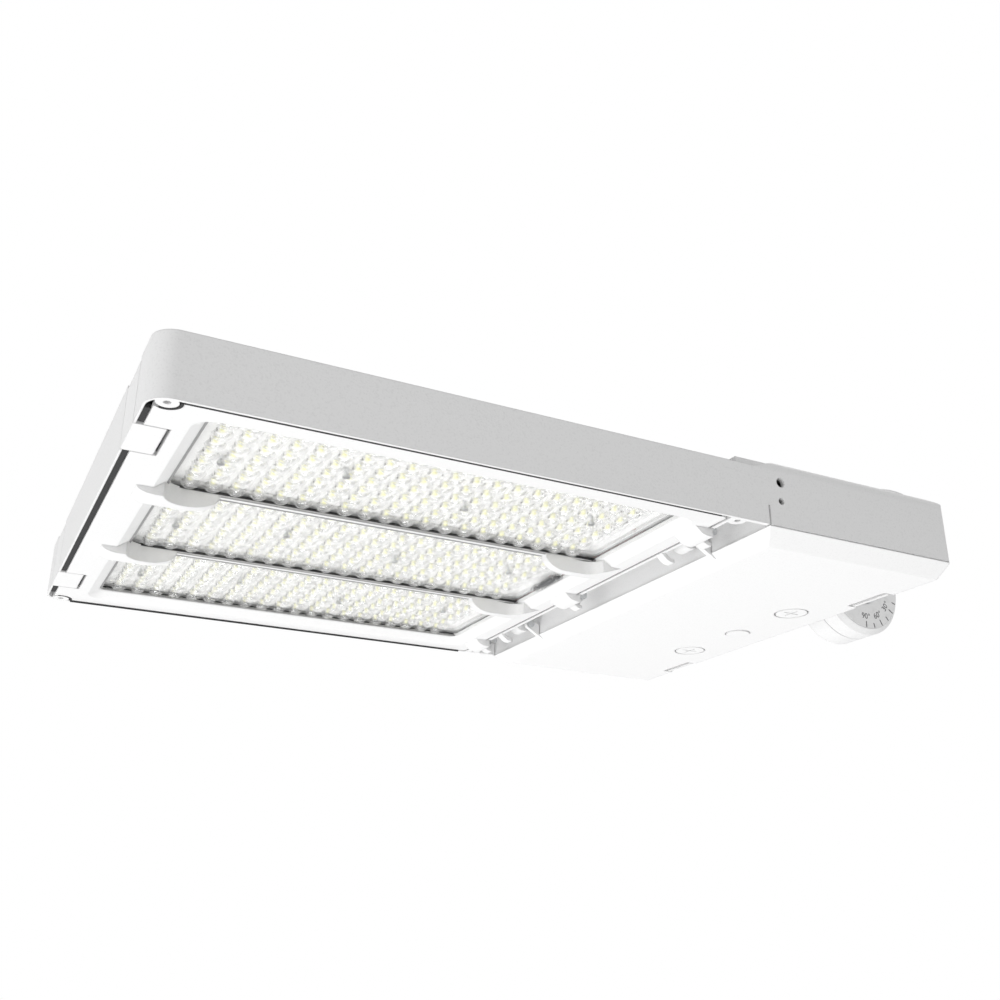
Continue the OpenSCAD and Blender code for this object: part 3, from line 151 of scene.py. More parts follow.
class FloodLightLens(bpy.types.PropertyGroup):
    """Sizes of a lens plate's domes"""

    columns: bpy.props.IntProperty(
        name="Columns", description="Domes along the head", default=20, min=1)
    rows: bpy.props.IntProperty(
        name="Rows", description="Domes across one plate", default=7, min=1)
    pitch_x: bpy.props.FloatProperty(
        name="Pitch along", description="Distance between domes along the head",
        default=12.8 * MM, unit="LENGTH", subtype="DISTANCE", precision=4)
    pitch_y: bpy.props.FloatProperty(
        name="Pitch across", description="Distance between domes across the plate",
        default=13.7 * MM, unit="LENGTH", subtype="DISTANCE", precision=4)
    shift: bpy.props.FloatProperty(
        name="Field shift", description="How far the domes stand from the plate's middle",
        default=-2.7 * MM, unit="LENGTH", subtype="DISTANCE", precision=4)
    half_x: bpy.props.FloatProperty(
        name="Dome half length", description="Half of a dome's size along the head",
        default=5.75 * MM, unit="LENGTH", subtype="DISTANCE", precision=4)
    half_y: bpy.props.FloatProperty(
        name="Dome half width", description="Half of a dome's size across the plate",
        default=6.25 * MM, unit="LENGTH", subtype="DISTANCE", precision=4)
    rise: bpy.props.FloatProperty(
        name="Dome height", description="How far a dome stands out of its plate",
        default=3.9 * MM, unit="LENGTH", subtype="DISTANCE", precision=4)
    plate: bpy.props.FloatProperty(
        name="Plate thickness", description="Thickness of the lens plate",
        default=2.2 * MM, unit="LENGTH", subtype="DISTANCE", precision=4)
    wall: bpy.props.FloatProperty(
        name="Dome wall", description="Thickness of a dome's wall over its chip",
        default=1.5 * MM, unit="LENGTH", subtype="DISTANCE", precision=4)
    corner: bpy.props.FloatProperty(
        name="Plate corner", description="Corner radius of the lens plate",
        default=4.0 * MM, unit="LENGTH", subtype="DISTANCE", precision=4)
    chip: bpy.props.FloatProperty(
        name="Chip radius", description="Radius of the phosphor cap on a chip",
        default=1.8 * MM, unit="LENGTH", subtype="DISTANCE", precision=4)
    clearness: bpy.props.FloatProperty(
        name="Dome clearness", description="Share of a lens that shows what is behind it unbent",
        default=0.6, min=0, max=1)


class FloodLightScale(bpy.types.PropertyGroup):
    """The graduated disc on the knuckle"""

    radius: bpy.props.FloatProperty(
        name="Mark radius", description="Outer end of the scale marks",
        default=33.8 * MM, unit="LENGTH", subtype="DISTANCE", precision=4)
    step: bpy.props.FloatProperty(
        name="Mark step", description="Angle between two marks",
        default=math.radians(15), unit="ROTATION", subtype="ANGLE")
    turn: bpy.props.FloatProperty(
        name="Scale turn", description="How far the scale's zero stands below the head's length",
        default=math.radians(3.5), unit="ROTATION", subtype="ANGLE")
    mark_width: bpy.props.FloatProperty(
        name="Mark width", description="Width of one mark",
        default=0.8 * MM, unit="LENGTH", subtype="DISTANCE", precision=5)
    number_size: bpy.props.FloatProperty(
        name="Number size", description="Size of the numbers' type",
        default=6.4 * MM, unit="LENGTH", subtype="DISTANCE", precision=4)
    number_radius: bpy.props.FloatProperty(
        name="Number radius", description="Radius of the ring of numbers",
        default=24.9 * MM, unit="LENGTH", subtype="DISTANCE", precision=4)


class FloodLightStage(bpy.types.PropertyGroup):
    """Floor, lamps and camera"""

    floor_z: bpy.props.FloatProperty(
        name="Floor height", description="Height of the floor under the light",
        default=-2.0, unit="LENGTH", subtype="DISTANCE")
    floor_radius: bpy.props.FloatProperty(
        name="Floor radius", description="Radius of the round floor",
        default=9.0, unit="LENGTH", subtype="DISTANCE")
    ambient: bpy.props.FloatProperty(
        name="Room light", description="Level of the even light from all round",
        default=0.42, min=0)
    camera_at: bpy.props.FloatVectorProperty(
        name="Camera place", description="Where the camera stands",
        default=(-0.713642, -0.6433, -0.340865), size=3, unit="LENGTH", subtype="TRANSLATION")
    camera_lens: bpy.props.FloatProperty(
        name="Camera lens", description="Focal length in millimetres on a 36 mm frame",
        default=40.44)


def place_piece(name, mesh, body, material):
    """Puts a mesh in the scene as a piece that rides on a body"""
    piece = bpy.data.objects.new(name, mesh)
    bpy.context.scene.collection.objects.link(piece)
    mesh.materials.clear()
    mesh.materials.append(material)
    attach(piece, body)
    return piece


def finish_mesh(bm, name, body, material, smooth=True):
    """Welds a bmesh, turns its faces outward and makes a piece of it"""
    bmesh.ops.remove_doubles(bm, verts=bm.verts, dist=1e-6)
    bmesh.ops.recalc_face_normals(bm, faces=bm.faces)
    for face in bm.faces:
        face.smooth = smooth
    mesh = bpy.data.meshes.new(name)
    bm.to_mesh(mesh)
    bm.free()
    return place_piece(name, mesh, body, material)


def add_box(bm, low, high):
    """Adds a box between two corners"""
    made = bmesh.ops.create_cube(bm, size=1.0)
    bmesh.ops.scale(bm, verts=made["verts"], vec=[b - a for a, b in zip(low, high)])
    bmesh.ops.translate(bm, verts=made["verts"], vec=[(a + b) / 2 for a, b in zip(low, high)])


def add_block(bm, size, at=(0.0, 0.0, 0.0)):
    """Adds a box of one size round its middle"""
    made = bmesh.ops.create_cube(bm, size=1.0)
    bmesh.ops.scale(bm, verts=made["verts"], vec=size)
    bmesh.ops.translate(bm, verts=made["verts"], vec=at)
    return made["verts"]


def finishes():
    """Colours chosen in the sidebar"""
    return bpy.context.scene.flood_light_finish


def paint_nodes(material, *names):
    """Gives CAD pieces a material and smooth shading over their rounded faces"""
    for name in names:
        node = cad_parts[name]
        if not node.material_slots:
            raise RuntimeError(f"{name} has no material slot")
        for place in node.material_slots:
            place.material = material
        for face in node.data.polygons:
            face.use_smooth = True
        weld = node.modifiers.new("weld", "WELD")
        weld.merge_threshold = 2e-6
        split = node.modifiers.new("edges", "EDGE_SPLIT")
        split.split_angle = math.radians(24)


def new_group(name, inputs, outputs):
    """A shader node group with named sockets"""
    tree = bpy.data.node_groups.new(name, "ShaderNodeTree")
    for label, kind, default in inputs:
        made = tree.interface.new_socket(name=label, in_out="INPUT", socket_type=kind)
        made.default_value = default
    for label, kind in outputs:
        tree.interface.new_socket(name=label, in_out="OUTPUT", socket_type=kind)
    start = tree.nodes.new("NodeGroupInput")
    end = tree.nodes.new("NodeGroupOutput")
    return tree, start, end


def feed(tree, value, socket):
    """Links a socket's value to an input, or sets the input to a plain value"""
    if isinstance(value, bpy.types.NodeSocket):
        tree.links.new(value, socket)
    else:
        socket.default_value = value


def maths(tree, operation, first, second):
    """A sum, product or the like of two values"""
    node = tree.nodes.new("ShaderNodeMath")
    node.operation = operation
    feed(tree, first, node.inputs[0])
    feed(tree, second, node.inputs[1])
    return node.outputs[0]


def noise(tree, scale, detail, at=None):
    """Noise over the object's own coordinates"""
    node = tree.nodes.new("ShaderNodeTexNoise")
    feed(tree, scale, node.inputs["Scale"])
    node.inputs["Detail"].default_value = detail
    if at is None:
        at = tree.nodes.new("ShaderNodeTexCoord").outputs["Object"]
    tree.links.new(at, node.inputs["Vector"])
    return node.outputs["Fac"]


def speckle_group():
    """Powder coat colour: fine darker flecks over a slow drift in tone"""
    tree, start, end = new_group(
        "powder_speckle",
        [("Color", "NodeSocketColor", (0.8, 0.8, 0.8, 1)),
         ("Fleck", "NodeSocketColor", (0.5, 0.5, 0.5, 1)),
         ("Scale", "NodeSocketFloat", 900.0),
         ("Amount", "NodeSocketFloat", 0.3)],
        [("Color", "NodeSocketColor"), ("Height", "NodeSocketFloat")])
    fine = noise(tree, start.outputs["Scale"], 2.0)
    dots = ranged(tree, fine, 0.0, 1.0, 0.52, 0.72)
    drift = ranged(tree, noise(tree, 14.0, 3.0), 0.75, 1.25)
    share = maths(tree, "MULTIPLY", maths(tree, "MULTIPLY", dots, start.outputs["Amount"]), drift)
    color = mixed(tree, share, start.outputs["Color"], start.outputs["Fleck"])
    tree.links.new(color, end.inputs["Color"])
    tree.links.new(fine, end.inputs["Height"])
    return tree


def edge_group():
    """Where an edge is worn: the rounded normal leaves the flat one there"""
    tree, start, end = new_group(
        "edge_wear",
        [("Radius", "NodeSocketFloat", 0.0008), ("Amount", "NodeSocketFloat", 0.5)],
        [("Mask", "NodeSocketFloat"), ("Normal", "NodeSocketVector")])
    round_off = tree.nodes.new("ShaderNodeBevel")
    round_off.samples = 4
    tree.links.new(start.outputs["Radius"], round_off.inputs["Radius"])
    geometry = tree.nodes.new("ShaderNodeNewGeometry")
    dot = tree.nodes.new("ShaderNodeVectorMath")
    dot.operation = "DOT_PRODUCT"
    tree.links.new(round_off.outputs["Normal"], dot.inputs[0])
    tree.links.new(geometry.outputs["True Normal"], dot.inputs[1])
    turned = ranged(tree, dot.outputs["Value"], 0.0, 1.0, 0.995, 0.80)
    spots = ranged(tree, noise(tree, 120.0, 3.0), 0.0, 1.0, 0.42, 0.62)
    level = maths(tree, "MULTIPLY", maths(tree, "MULTIPLY", turned, spots),
                  start.outputs["Amount"])
    tree.links.new(level, end.inputs["Mask"])
    tree.links.new(round_off.outputs["Normal"], end.inputs["Normal"])
    return tree


def dust_group():
    """Fine dust that settles on faces that look up"""
    tree, start, end = new_group(
        "settled_dust", [("Amount", "NodeSocketFloat", 0.3)], [("Mask", "NodeSocketFloat")])
    geometry = tree.nodes.new("ShaderNodeNewGeometry")
    parts = tree.nodes.new("ShaderNodeSeparateXYZ")
    tree.links.new(geometry.outputs["True Normal"], parts.inputs[0])
    up = ranged(tree, parts.outputs["Z"], 0.0, 1.0, 0.55, 1.0)
    level = maths(tree, "MULTIPLY", maths(tree, "MULTIPLY", up, noise(tree, 35.0, 5.0)),
                  start.outputs["Amount"])
    tree.links.new(level, end.inputs["Mask"])
    return tree


def grain_group():
    """Fine lines left by brushing or turning, drawn out along one direction"""
    tree, start, end = new_group(
        "drawn_grain",
        [("Stretch", "NodeSocketVector", (1.0, 1.0, 1.0)), ("Scale", "NodeSocketFloat", 900.0)],
        [("Value", "NodeSocketFloat")])
    place = tree.nodes.new("ShaderNodeTexCoord")
    pull = tree.nodes.new("ShaderNodeVectorMath")
    pull.operation = "MULTIPLY"
    tree.links.new(place.outputs["Object"], pull.inputs[0])
    tree.links.new(start.outputs["Stretch"], pull.inputs[1])
    lines = noise(tree, start.outputs["Scale"], 3.0, pull.outputs[0])
    tree.links.new(lines, end.inputs["Value"])
    return tree


GROUPS = {}


def group_node(tree, name, **values):
    """Places a shared group in a material with its own values"""
    makers = {"powder_speckle": speckle_group, "edge_wear": edge_group,
              "settled_dust": dust_group, "drawn_grain": grain_group}
    if name not in GROUPS:
        GROUPS[name] = makers[name]()
    node = tree.nodes.new("ShaderNodeGroup")
    node.node_tree = GROUPS[name]
    for label, value in values.items():
        node.inputs[label.replace("_", " ")].default_value = value
    return node


def new_material(name):
    """An empty material with a principled shader on its output"""
    material = bpy.data.materials.new(name)
    material.use_nodes = True
    tree = material.node_tree
    tree.nodes.clear()
    shader = tree.nodes.new("ShaderNodeBsdfPrincipled")
    output = tree.nodes.new("ShaderNodeOutputMaterial")
    tree.links.new(shader.outputs["BSDF"], output.inputs["Surface"])
    return material, tree, shader


def rgba(color):
    """A colour with full alpha"""
    return (color[0], color[1], color[2], 1.0)


def ranged(tree, source, low, high, start=0.0, end=1.0):
    """Maps a value that changes over the surface to a range"""
    node = tree.nodes.new("ShaderNodeMapRange")
    node.inputs["From Min"].default_value = start
    node.inputs["From Max"].default_value = end
    node.inputs["To Min"].default_value = low
    node.inputs["To Max"].default_value = high
    tree.links.new(source, node.inputs["Value"])
    return node.outputs["Result"]


def mixed(tree, factor, first, second):
    """Mixes two colours by a mask"""
    node = tree.nodes.new("ShaderNodeMix")
    node.data_type = "RGBA"
    tree.links.new(factor, node.inputs["Factor"])
    for value, label in ((first, "A"), (second, "B")):
        plain = not isinstance(value, bpy.types.NodeSocket)
        feed(tree, rgba(value) if plain else value, node.inputs[label])
    return node.outputs["Result"]


def bumped(tree, height, strength, distance, normal=None):
    """A bump whose result feeds the shader's normal"""
    node = tree.nodes.new("ShaderNodeBump")
    node.inputs["Strength"].default_value = strength
    node.inputs["Distance"].default_value = distance
    tree.links.new(height, node.inputs["Height"])
    if normal is not None:
        tree.links.new(normal, node.inputs["Normal"])
    return node.outputs["Normal"]


def powder_coat(name, color, fleck, amount=0.35, radius=0.9 * MM, roughness=0.42):
    """White powder coat: flecks, orange peel, soft edges, thin wear and dust"""
    material, tree, shader = new_material(name)
    speckle = group_node(tree, "powder_speckle", Color=rgba(color), Fleck=rgba(fleck),
                         Scale=900.0, Amount=amount)
    wear = group_node(tree, "edge_wear", Radius=radius, Amount=0.35)
    dust = group_node(tree, "settled_dust", Amount=0.30)
    light_edge = mixed(tree, wear.outputs["Mask"], speckle.outputs["Color"],
                       [min(1.0, 1.08 * c) for c in color])
    dusty = mixed(tree, dust.outputs["Mask"], light_edge, (0.62, 0.60, 0.56))
    tree.links.new(dusty, shader.inputs["Base Color"])
    rough = ranged(tree, speckle.outputs["Height"], roughness - 0.06, roughness + 0.10)
    tree.links.new(rough, shader.inputs["Roughness"])
    normal = bumped(tree, speckle.outputs["Height"], 0.22, 0.25 * MM, wear.outputs["Normal"])
    tree.links.new(normal, shader.inputs["Normal"])
    shader.inputs["IOR"].default_value = 1.45
    return material


def plated_steel(name, color, stretch=(1.0, 1.0, 1.0), roughness=0.30, tint=(0.45, 0.44, 0.42)):
    """Zinc plate: fine drawn lines, brighter edges and a dull bloom in patches"""
    material, tree, shader = new_material(name)
    grain = group_node(tree, "drawn_grain", Stretch=stretch, Scale=1400.0)
    wear = group_node(tree, "edge_wear", Radius=0.3 * MM, Amount=0.8)
    bloom = group_node(tree, "powder_speckle", Color=rgba(color), Fleck=rgba(tint),
                       Scale=160.0, Amount=0.5)
    bright = mixed(tree, wear.outputs["Mask"], bloom.outputs["Color"],
                   [min(1.0, 1.3 * c) for c in color])
    tree.links.new(bright, shader.inputs["Base Color"])
    shader.inputs["Metallic"].default_value = 1.0
    rough = ranged(tree, grain.outputs["Value"], roughness - 0.08, roughness + 0.14, 0.3, 0.7)
    tree.links.new(rough, shader.inputs["Roughness"])
    normal = bumped(tree, grain.outputs["Value"], 0.15, 0.05 * MM, wear.outputs["Normal"])
    tree.links.new(normal, shader.inputs["Normal"])
    return material


def moulded(name, color, roughness=0.5, grain=700.0, shade=0.75):
    """Moulded plastic, rubber or insulation: a fine grain with a slight drift in tone"""
    material, tree, shader = new_material(name)
    speckle = group_node(tree, "powder_speckle", Color=rgba(color),
                         Fleck=rgba([shade * c for c in color]), Scale=grain, Amount=0.5)
    wear = group_node(tree, "edge_wear", Radius=0.3 * MM, Amount=0.4)
    lighter = mixed(tree, wear.outputs["Mask"], speckle.outputs["Color"],
                    [min(1.0, 1.25 * c + 0.03) for c in color])
    tree.links.new(lighter, shader.inputs["Base Color"])
    rough = ranged(tree, speckle.outputs["Height"], roughness - 0.08, roughness + 0.12)
    tree.links.new(rough, shader.inputs["Roughness"])
    normal = bumped(tree, speckle.outputs["Height"], 0.18, 0.08 * MM, wear.outputs["Normal"])
    tree.links.new(normal, shader.inputs["Normal"])
    return material


def clear_acrylic(name, color, clearness):
    """Clear moulded acrylic that lets the lamps' light through to the boards"""
    material, tree, shader = new_material(name)
    shader.inputs["Base Color"].default_value = rgba(color)
    shader.inputs["Transmission Weight"].default_value = 1.0
    shader.inputs["IOR"].default_value = 1.49
    grain = group_node(tree, "drawn_grain", Stretch=(1.0, 1.0, 1.0), Scale=260.0)
    rough = ranged(tree, grain.outputs["Value"], 0.015, 0.05, 0.3, 0.7)
    tree.links.new(rough, shader.inputs["Roughness"])
    normal = bumped(tree, grain.outputs["Value"], 0.04, 0.1 * MM)
    tree.links.new(normal, shader.inputs["Normal"])
    path = tree.nodes.new("ShaderNodeLightPath")
    clear = tree.nodes.new("ShaderNodeBsdfTransparent")
    passing = maths(tree, "MAXIMUM", path.outputs["Is Shadow Ray"], path.outputs["Is Diffuse Ray"])
    partly = maths(tree, "MAXIMUM", passing, clearness)
    mix = tree.nodes.new("ShaderNodeMixShader")
    output = next(n for n in tree.nodes if n.type == "OUTPUT_MATERIAL")
    tree.links.new(partly, mix.inputs["Fac"])
    tree.links.new(shader.outputs["BSDF"], mix.inputs[1])
    tree.links.new(clear.outputs["BSDF"], mix.inputs[2])
    tree.links.new(mix.outputs["Shader"], output.inputs["Surface"])
    return material


class FLOOD_OT_casting(bpy.types.Operator):
    """Powder coat on the head casting, the door, its plug, the knuckle arm and the cup"""

    bl_idname = "flood_light.casting"
    bl_label = "Coat castings"

    def execute(self, context):
        look = finishes()
        coat = powder_coat("casting_coat", look.casting, look.fleck)
        paint_nodes(coat, "housing", "knuckle_arm", "slipfitter_cup")
        cover = powder_coat("door_coat", look.cover, look.fleck, amount=0.22)
        paint_nodes(cover, "door", "door_plug")
        return {"FINISHED"}


class FLOOD_OT_optic_frame(bpy.types.Operator):
    """Smoother, brighter coat on the optic frame, its latches and the door screws"""

    bl_idname = "flood_light.optic_frame"
    bl_label = "Coat optic frame"

    def execute(self, context):
        look = finishes()
        coat = powder_coat("frame_coat", look.bezel, look.fleck, amount=0.18, roughness=0.36,
                           radius=1.2 * MM)
        paint_nodes(coat, "optic_frame", "latch_near", "latch_far")
        screw = powder_coat("screw_coat", look.cover, look.fleck, amount=0.3, radius=0.6 * MM)
        paint_nodes(screw, "door_screw_near", "door_screw_far")
        return {"FINISHED"}


class FLOOD_OT_hardware(bpy.types.Operator):
    """Zinc plate on pins, screws, bolts, springs and toothed rings"""

    bl_idname = "flood_light.hardware"
    bl_label = "Plate hardware"

    def execute(self, context):
        look = finishes()
        plate = plated_steel("zinc_plate", look.steel)
        paint_nodes(plate, "lens_screws", "driver_screws", "frame_hinge_pins", "door_hinge_pins",
                    "latch_pins", "latch_springs", "screw_retainers", "arm_bolts", "cup_bolts",
                    "tooth_ring_head", "tooth_ring_cup", "knuckle_bolt", "knuckle_nut",
                    "knuckle_washer", "pointer")
        green = plated_steel("green_plate", (0.10, 0.36, 0.16), tint=(0.05, 0.2, 0.08))
        paint_nodes(green, "ground_screw")
        return {"FINISHED"}


class FLOOD_OT_seals(bpy.types.Operator):
    """Silicone on the gaskets, the grommet and the wire bush, and dark and gray strips that paint
    the shade in the gaps round the optic frame and its windows
    """

    bl_idname = "flood_light.seals"
    bl_label = "Seal rubber"

    def execute(self, context):
        rubber = moulded("silicone", finishes().rubber, roughness=0.62)
        paint_nodes(rubber, "lead_grommet", "door_gasket", "arm_gasket", "cup_bush")
        pale = moulded("lens_silicone", finishes().gasket, roughness=0.6)
        paint_nodes(pale, "lens_gaskets")
        # Painted shadow: near-black strips in the gap round the frame stand in for the shade there
        dark = moulded("frame_gap_shadow", finishes().seal, roughness=0.7)
        # Painted shade: gray rings stand in for each window's inner wall in shade
        gray = moulded("window_wall_shade", finishes().lip, roughness=0.6)
        bm = bmesh.new()
        for low, high in self.strips():
            add_box(bm, low, high)
        for side in (-1, 1):
            self.corner_strip(bm, side)
        self.seat(bm)
        finish_mesh(bm, "frame_gap_shadow", "head", dark, smooth=False)
        # Painted shade: a dark ring for the shadow gap under each lens plate and a gray ring for the
        # window's wall in shade
        for side in WINDOW_Y:
            self.window_ring(f"window_gap_shadow_{side}", side, GAP_SHADE_Z, GAP_SHADE_WIDE, dark)
            self.window_ring(f"window_wall_shade_{side}", side, LIP_Z, LIP_WIDE, gray)
        self.rib_shadow_strips(dark)
        return {"FINISHED"}

    def rib_shadow_strips(self, material):
        """A thin dark strip along each side of the frame's two ribs, painted shadow where each rib
        meets the lens plates
        """
        bm = bmesh.new()
        for y0, y1 in RIB_SIDES:
            add_box(bm, (RIB_SHADOW_X[0], y0, RIB_SHADOW_Z[0]), (RIB_SHADOW_X[1], y1, RIB_SHADOW_Z[1]))
        self.seat(bm)
        finish_mesh(bm, "rib_shadow_strips", "frame", material, smooth=False)

    def seat(self, bm):
        """Takes a mesh from millimetres at the lamp end's rim to its place"""
        bmesh.ops.scale(bm, verts=bm.verts, vec=(MM, MM, MM))
        bmesh.ops.translate(bm, verts=bm.verts, vec=HEAD)

    def corner_strip(self, bm, side):
        """The dark strip's bend round a corner screw boss, painted shadow in the gap there"""
        made = bmesh.ops.create_grid(bm, x_segments=1, y_segments=1, size=0.5)
        bmesh.ops.rotate(bm, verts=made["verts"], cent=(0, 0, 0),
                         matrix=Matrix.Rotation(math.pi / 2, 3, "X"))
        bmesh.ops.scale(bm, verts=made["verts"], vec=(1.4, 1, 3.1))
        bmesh.ops.translate(bm, verts=made["verts"], vec=(BEND_X, side * BOSS_Y, 1.35))
        faces = list({f for v in made["verts"] for f in v.link_faces})
        boss = (BOSS_X, side * BOSS_Y, 0)
        bmesh.ops.rotate(bm, verts=made["verts"], cent=boss,
                         matrix=Matrix.Rotation(math.radians(20 * side), 3, "Z"))
        bmesh.ops.spin(bm, geom=faces + made["verts"], cent=boss,
                       axis=(0, 0, -side), angle=math.radians(130), steps=12)

    def window_ring(self, name, side, reach, width, material):
        """A thin ring round one window of the frame, whose colour paints the shade at the window's
        edge
        """
        low, high = zip(WINDOW_X, WINDOW_Y[side])
        bm = bmesh.new()
        made = bmesh.ops.create_grid(bm, x_segments=1, y_segments=1, size=0.5)
        bmesh.ops.scale(bm, verts=made["verts"], vec=(high[0] - low[0], high[1] - low[1], 1))
        bmesh.ops.bevel(bm, geom=bm.verts[:], offset=WINDOW_CORNER, affect="VERTICES",
                        segments=5, profile=0.5, material=-1)
        bmesh.ops.inset_region(bm, faces=bm.faces[:], thickness=width, use_even_offset=True,
                               use_boundary=True)
        middle = max(bm.faces, key=lambda face: face.calc_area())
        bmesh.ops.delete(bm, geom=[middle], context="FACES_ONLY")
        made = bmesh.ops.extrude_face_region(bm, geom=bm.faces[:])
        top = [v for v in made["geom"] if isinstance(v, bmesh.types.BMVert)]
        bmesh.ops.translate(bm, verts=top, vec=(0, 0, reach[1] - reach[0]))
        bmesh.ops.translate(bm, verts=bm.verts, vec=(
            (low[0] + high[0]) / 2, (low[1] + high[1]) / 2, reach[0]))
        self.seat(bm)
        finish_mesh(bm, name, "frame", material, smooth=False)

    def strips(self):
        """Low and high corners of the dark strips that paint the shadow in the gap round the frame,
        in millimetres from the lamp end's rim
        """
        found = []
        for side, shade_reach in SIDE_SHADE_STRIPS:
            for (z0, z1), out, wide in ((SHEET_Z, 174.0, 8.0), (shade_reach, 174.05, 1.4)):
                y0, y1 = sorted((side * out, side * (out - wide)))
                found.append(((SIDE_X[0], y0, z0), (SIDE_X[1], y1, z1)))
        for y0, y1 in LAMP_END_Y:
            found.append(((1.5, y0, SHEET_Z[0]), (13.0, y1, SHEET_Z[1])))
            found.append(((1.5, y0, STRIP_Z[0]), (4.6, y1, STRIP_Z[1])))
        edges = [-HINGE_END]
        for tab in HINGE_TABS:
            edges += [tab - HINGE_TAB_HALF, tab + HINGE_TAB_HALF]
        edges.append(HINGE_END)
        for y0, y1 in zip(edges[::2], edges[1::2]):
            found.append(((325.4, y0, STRIP_Z[0]), (326.8, y1, STRIP_Z[1])))
        return found


class FLOOD_OT_wiring(bpy.types.Operator):
    """Driver case, terminal block, surge protector and leads in the bay"""

    bl_idname = "flood_light.wiring"
    bl_label = "Finish wiring bay"

    def execute(self, context):
        case = plated_steel("driver_case", (0.66, 0.67, 0.68), stretch=(1.0, 0.05, 1.0),
                            roughness=0.42)
        paint_nodes(case, "led_driver")
        paint_nodes(moulded("terminal_plastic", (0.80, 0.78, 0.70)), "terminal_block")
        paint_nodes(moulded("surge_plastic", (0.78, 0.28, 0.07)), "surge_protector")
        paint_nodes(moulded("red_lead", (0.42, 0.06, 0.05), roughness=0.4), "board_leads")
        paint_nodes(moulded("green_lead", (0.05, 0.26, 0.09), roughness=0.4), "bay_leads")
        return {"FINISHED"}


class FLOOD_OT_boards(bpy.types.Operator):
    """White lamp boards, with a pale yellow cap on every chip"""

    bl_idname = "flood_light.boards"
    bl_label = "Finish lamp boards"

    def execute(self, context):
        look, lens = finishes(), context.scene.flood_light_lens
        paint_nodes(moulded("board_mask", look.board, roughness=0.45, shade=0.9),
                    "board_near", "board_mid", "board_far")
        cap = moulded("chip_phosphor", look.phosphor, roughness=0.3, grain=1600.0, shade=0.85)
        # Painted shade: dark blocks in the marks' dark colour stand in for the dark specks seen in
        # the domes
        dark = moulded("painted_speck_shade", look.ink, roughness=0.6)
        for side in ("near", "mid", "far"):
            low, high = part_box(f"board_{side}")
            centre = (low + high) / 2
            centre.z = low.z
            chips, speck_mesh = bmesh.new(), bmesh.new()
            for i in range(lens.columns):
                for j in range(lens.rows):
                    at = centre + Vector((
                        lens.shift + (i - (lens.columns - 1) / 2) * lens.pitch_x,
                        (j - (lens.rows - 1) / 2) * lens.pitch_y, 0))
                    add_chip(chips, lens, at)
                    for along, size in CHIP_SPECKS:
                        add_speck(speck_mesh, at + Vector((along * MM, 0, 0)), size)
            finish_mesh(chips, f"chips_{side}", "head", cap)
            finish_mesh(speck_mesh, f"pads_{side}", "head", dark, smooth=False)
        return {"FINISHED"}


def add_chip(bm, lens, at):
    """A round cap under one chip"""
    made = bmesh.ops.create_uvsphere(bm, u_segments=10, v_segments=6, radius=lens.chip)
    bmesh.ops.scale(bm, verts=made["verts"], vec=(1, 1, 1.25))
    bmesh.ops.translate(bm, verts=made["verts"], vec=at)


def add_speck(bm, at, size):
    """A dark upright block beside a chip, narrower at its free end, painted shade for a dark speck
    in the dome
    """
    made = bmesh.ops.create_cone(bm, cap_ends=True, segments=4, radius1=0.42, radius2=0.71,
                                 depth=1.0)
    bmesh.ops.rotate(bm, verts=made["verts"], cent=(0, 0, 0),
                     matrix=Matrix.Rotation(math.pi / 4, 3, "Z"))
    bmesh.ops.scale(bm, verts=made["verts"], vec=[a * MM for a in size])
    bmesh.ops.translate(bm, verts=made["verts"], vec=at - Vector((0, 0, size[2] * MM / 2)))


def dome_cell(lens, half_x, half_y, rise, segments=16, rings=4):
    """One dome with the flat corner pieces round it, as an open sheet that looks down"""
    bm = bmesh.new()
    sphere = (half_y ** 2 + rise ** 2) / (2 * rise)
    reach = math.acos(max(-1.0, (sphere - rise) / sphere))
    profile = []
    for k in range(rings + 1):
        a = reach * k / rings
        profile.append(bm.verts.new(
            (sphere * math.sin(a), 0, -rise + sphere * (1 - math.cos(a)))))
    edges = [bm.edges.new(pair) for pair in zip(profile, profile[1:])]
    bmesh.ops.spin(bm, geom=profile + edges, axis=(0, 0, 1), cent=(0, 0, 0),
                   angle=2 * math.pi, steps=segments, use_merge=True)
    bmesh.ops.remove_doubles(bm, verts=bm.verts, dist=1e-7)
    bmesh.ops.scale(bm, verts=bm.verts, vec=(half_x / half_y, 1, 1))
    rim = [e for e in bm.edges if e.is_boundary]
    for edge in rim:
        edge.smooth = False
    made = bmesh.ops.extrude_edge_only(bm, edges=rim)
    out = [v for v in made["geom"] if isinstance(v, bmesh.types.BMVert)]
    corner = math.atan2(lens.pitch_y, lens.pitch_x)
    for vert in out:
        a = math.atan2(vert.co.y, vert.co.x)
        quarter = math.atan2(abs(math.sin(a)), abs(math.cos(a)))
        if abs(quarter - corner) < math.pi / segments:
            x, y = lens.pitch_x / 2, lens.pitch_y / 2
            vert.co = Vector((math.copysign(x, vert.co.x), math.copysign(y, vert.co.y), 0))
        else:
            grow = min(lens.pitch_x / 2 / max(abs(math.cos(a)), 1e-9),
                       lens.pitch_y / 2 / max(abs(math.sin(a)), 1e-9))
            vert.co = Vector((grow * math.cos(a), grow * math.sin(a), 0))
    mesh = bpy.data.meshes.new("dome_cell")
    bm.to_mesh(mesh)
    bm.free()
    return mesh


